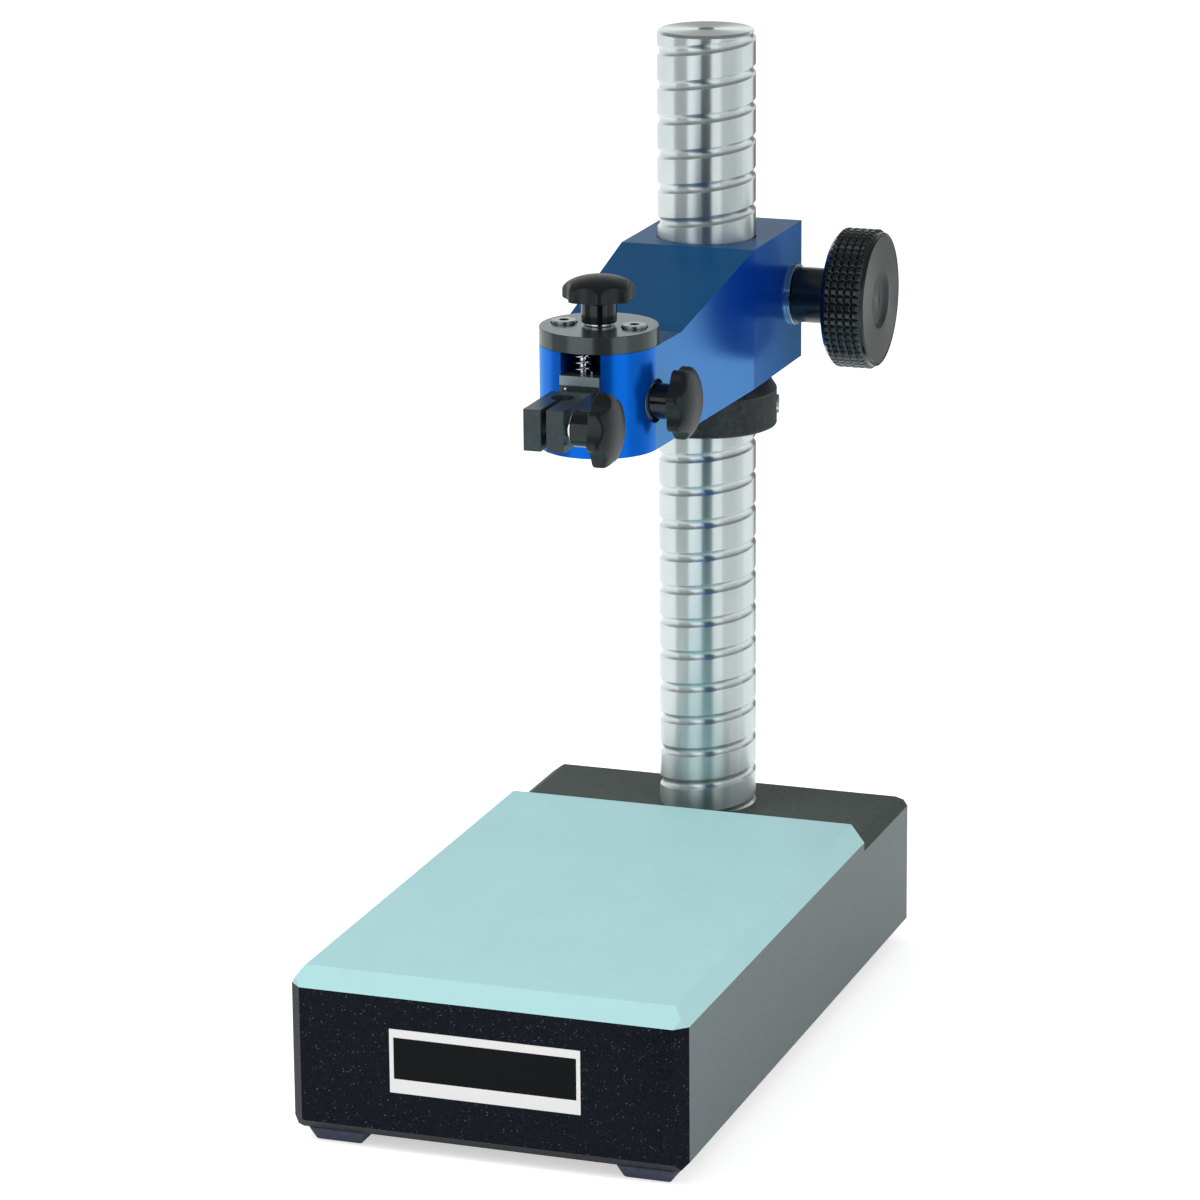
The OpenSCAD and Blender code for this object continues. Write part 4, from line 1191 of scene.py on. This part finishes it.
def make_slider():
    """Round back and tongue, with a lighter band along the top of the tongue's front, a painted
    reflection of the holder bar's top.
    """
    lo, hi = BOX["slider"]
    past = 1 * MM
    half = TONGUE_W / 2
    band = hi.z - 3.2 * MM
    radius = GUIDE_BORE_R - FIT
    profile = [(0, lo.z), (radius, lo.z), (radius, hi.z), (0, hi.z)]
    obj = revolve("slider_body", profile, HEAD_AXIS, 96)
    join(obj, block("tongue", (-half, lo.y, lo.z), (half, HEAD_Y, hi.z)))
    drill(obj, HEAD_AXIS, SPINDLE_R + FIT, lo.z - past, hi.z + past, 48)
    tenon = frame_at((0, lo.y, middle("holder_screw").z), "y")
    drill(obj, tenon, TENON_R + FIT, -past, TENON_DEPTH)
    pin_lo, pin_hi = BOX["stop_pin"]
    spot = middle("stop_pin")
    pin = frame_at((spot.x, lo.y, spot.z), "y")
    pin_r = (pin_hi.x - pin_lo.x) / 2 + FIT
    drill(obj, pin, pin_r, -past, 6 * MM, 32)
    guide_lo, guide_hi = BOX["spring_pin"]
    guide_r = (guide_hi.x - guide_lo.x) / 2 + FIT
    drill(obj, PIN_AXIS, guide_r, guide_lo.z, hi.z + past, 48)
    soften(obj, 0.25 * MM, 1)
    bm = bmesh.new()
    bm.from_mesh(obj.data)
    bisect(bm, (0, 0, band), UP)
    bm.to_mesh(obj.data)
    bm.free()

    # The top band of the tongue's front takes the painted reflection
    def finish(face):
        return SLIDE_BAND_SHEEN if face.normal.y < -0.9 and face.center.z > band else SLIDE

    paint(obj, finish, SLIDE, SLIDE_BAND_SHEEN)
    dress(obj, None, "slider")


def make_holder():
    """Square bar, split by a slit and drilled for the gauge, with a neck and a round tenon."""
    lo, hi = BOX["gauge_holder"]
    past = 1 * MM
    bar_rear = lo.y + 27 * MM
    gauge_y = lo.y + 19 * MM
    slit = 1 * MM
    tongue = low("slider").y
    z = middle("holder_screw").z
    neck = 5.5 * MM
    obj = block("holder_body", lo, (hi.x, bar_rear, hi.z))
    join(obj, block("neck", (-neck, bar_rear - past, z - neck), (neck, tongue, z + neck)))
    join(obj, rod("tenon", frame_at((0, tongue - past, z), "y"), TENON_R, 8 * MM, 0.2 * MM, 48))
    drill(obj, frame_at((0, gauge_y, 0), "z"), GAUGE_R, lo.z - past, hi.z + past, 96)
    cut(obj, block("tool", (-slit, lo.y - past, lo.z - past), (slit, gauge_y, hi.z + past)))
    side = frame_at((0, middle("holder_screw").y, z), "x")
    drill(obj, side, M5_HOLE_R, lo.x + 1 * MM, hi.x + past, 48)
    dress(soften(obj, 0.35 * MM, 1), SLIDE, "gauge_holder")


def make_base():
    make_granite()
    make_plate()
    make_feet()
    make_label()
    make_column()
    repaint("column_bolt", BOLT)
    repaint("column_washer", STEEL)


def make_height_set():
    make_ring()
    make_guide_screw()
    make_washer("thrust_ring", "thrust_washer", "z", COL_R + FIT, STEEL, 0.2 * MM)


def make_arm_set():
    make_arm()
    make_disc()
    make_disc_screws()
    make_clamp_knob()
    make_screw("clamp_stud", "clamp_screw", 1.25 * MM)
    make_washer("clamp_ring", "clamp_washer", "x", M8_HOLE_R)


def make_fine_set():
    make_star("fine_star", "fine_knob", (0, HEAD_Y, low("fine_knob").z), "z", FINE_RIDGE)
    make_spindle()
    make_washer("fine_ring", "fine_washer", "z", M5_HOLE_R, edge=0.3 * MM)
    make_spring()
    make_pin("spring_pin", "z", 0.3 * MM, 48)
    make_slider()
    make_pin("stop_pin", "y", 0.15 * MM, 32)
    lock = (low("lock_knob").x, HEAD_Y, middle("lock_screw").z)
    make_star("lock_star", "lock_knob", lock, "x", LOCK_RIDGE)
    make_screw("lock_stud", "lock_screw", FINE_THREAD)


def make_holder_set():
    make_holder()
    make_washer("holder_ring", "holder_washer", "x", M5_HOLE_R)
    spot = middle("holder_washer")
    hub = (low("holder_knob").x, spot.y, spot.z)
    make_star("holder_star", "holder_knob", hub, "x", HOLDER_RIDGE)
    make_screw("holder_stud", "holder_screw", FINE_THREAD)


# Studio


def make_camera():
    """The photograph's view, fitted to the base, plate and column edges."""
    focal_px = 5036.06
    frame_px = 1200
    azimuth = math.radians(19.498)
    pitch = math.radians(15.547)
    roll = math.radians(-0.479)
    place = Vector((550.19, -1579.86, 620.16)) * MM
    turn = (Matrix.Rotation(azimuth, 4, "Z") @ Matrix.Rotation(math.pi / 2 - pitch, 4, "X")
            @ Matrix.Rotation(roll, 4, "Z"))
    data = bpy.data.cameras.new("camera")
    data.sensor_width = 36
    data.sensor_fit = "HORIZONTAL"
    data.lens = data.sensor_width * focal_px / frame_px
    data.clip_start = 0.05
    data.clip_end = 50
    camera = bpy.data.objects.new("camera", data)
    camera.matrix_world = Matrix.Translation(place) @ turn
    bpy.context.scene.collection.objects.link(camera)
    bpy.context.scene.camera = camera


def make_floor():
    """A white floor that keeps the stand's shadow and reads white to the camera."""
    size = 6
    seen = 0.55
    mirrored = 0.4
    bm = bmesh.new()
    bm.faces.new([bm.verts.new((x * size, y * size, 0)) for x, y in CORNERS])
    floor = link("floor", bm)
    s = Shader("floor_white", (0.9, 0.9, 0.9), 0.0, 0.9, Specular_IOR_Level=0.1)
    rays = s.node("LightPath").outputs
    direct = s.math("MAXIMUM", rays["Is Camera Ray"], rays["Is Transmission Ray"])
    s.glow(s.math("MAXIMUM", s.math("MULTIPLY", direct, seen),
                  s.math("MULTIPLY", rays["Is Glossy Ray"], mirrored)))
    floor.data.materials.append(s.material)


def make_world():
    """White surroundings. Polished faces see them white near the horizon and dim overhead, and
    rays that only light the object see them at a plain level."""
    plain = 0.55
    overhead = 0.22
    fade = (0.3, 0.5)
    world = bpy.data.worlds.new("studio")
    bpy.context.scene.world = world
    t = Tree(world)
    rays = t.node("LightPath").outputs
    up = t.along_z(t.node("TexCoord").outputs["Generated"])
    light = t.feed(t.node("Mix"), Factor=rays["Is Glossy Ray"], A=plain,
                   B=t.remap(up, *fade, 1.0, overhead))
    level = t.math("MAXIMUM", rays["Is Camera Ray"], light["Result"])
    t.feed(t.tree.nodes["Background"], Color=(1, 1, 1, 1), Strength=level)


def make_lamp(name, place, size, power):
    """A soft lamp that points at the stand and shows in no reflection."""
    target = Vector((0, 0, 0.15))
    data = bpy.data.lights.new(name, "AREA")
    data.shape = "RECTANGLE"
    data.size, data.size_y = size
    data.energy = power
    lamp = bpy.data.objects.new(name, data)
    turn = (target - Vector(place)).to_track_quat("-Z", "Y").to_matrix().to_4x4()
    lamp.matrix_world = Matrix.Translation(Vector(place)) @ turn
    lamp.visible_glossy = False
    bpy.context.scene.collection.objects.link(lamp)


def make_card(name, azimuth, width, tone, foot):
    """An upright studio card that stands round the column, seen in reflections alone. Azimuth and
    width are in degrees, counted from +X. Its glow goes from foot below to tone above."""
    radius = 0.32
    bottom = 0.001
    top = 0.36
    fade = (0.02, 0.12)
    steps = 12
    bm = bmesh.new()
    rows = []
    for k in range(steps + 1):
        a = math.radians(azimuth - width / 2 + width * k / steps)
        x = radius * math.cos(a)
        y = COL_Y + radius * math.sin(a)
        rows.append((bm.verts.new((x, y, bottom)), bm.verts.new((x, y, top))))
    for (a, b), (c, d) in zip(rows, rows[1:]):
        bm.faces.new((a, c, d, b))
    card = link(name, bm)
    s = Shader(name, (0.01, 0.01, 0.01), 0, 0.9, Specular_IOR_Level=0)
    s.glow(s.remap(s.along_z(s.place), *fade, foot, tone))
    card.data.materials.append(s.material)
    for ray in ("camera", "shadow", "diffuse", "transmission"):
        setattr(card, f"visible_{ray}", False)


# Each card's azimuth and width in degrees, then its glow above and at its foot
CARDS = {
    "camera_side": (-73, 24, 0.0, 0.3),
    "strip_left": (-103, 20, 1.35, 1.3),
    "strip_right": (-51, 18, 1.2, 1.0),
    "left": (-134, 34, 0.45, 0.52),
    "right": (-18, 40, 0.68, 0.64),
    "edge_right": (11, 17, 0.82, 0.8),
    "rear": (79, 28, 0.22, 0.85),
}


def make_studio():
    make_camera()
    make_floor()
    make_world()
    make_lamp("key", (-1.2, -1.1, 2.05), (1.2, 1.2), 27)
    make_lamp("fill", (1.6, -0.9, 1.1), (1.0, 1.4), 12)
    for name, card in CARDS.items():
        make_card(f"card_{name}", *card)
    bpy.context.scene.view_settings.view_transform = "Standard"


make_studio()
make_base()
make_height_set()
make_arm_set()
make_fine_set()
make_holder_set()
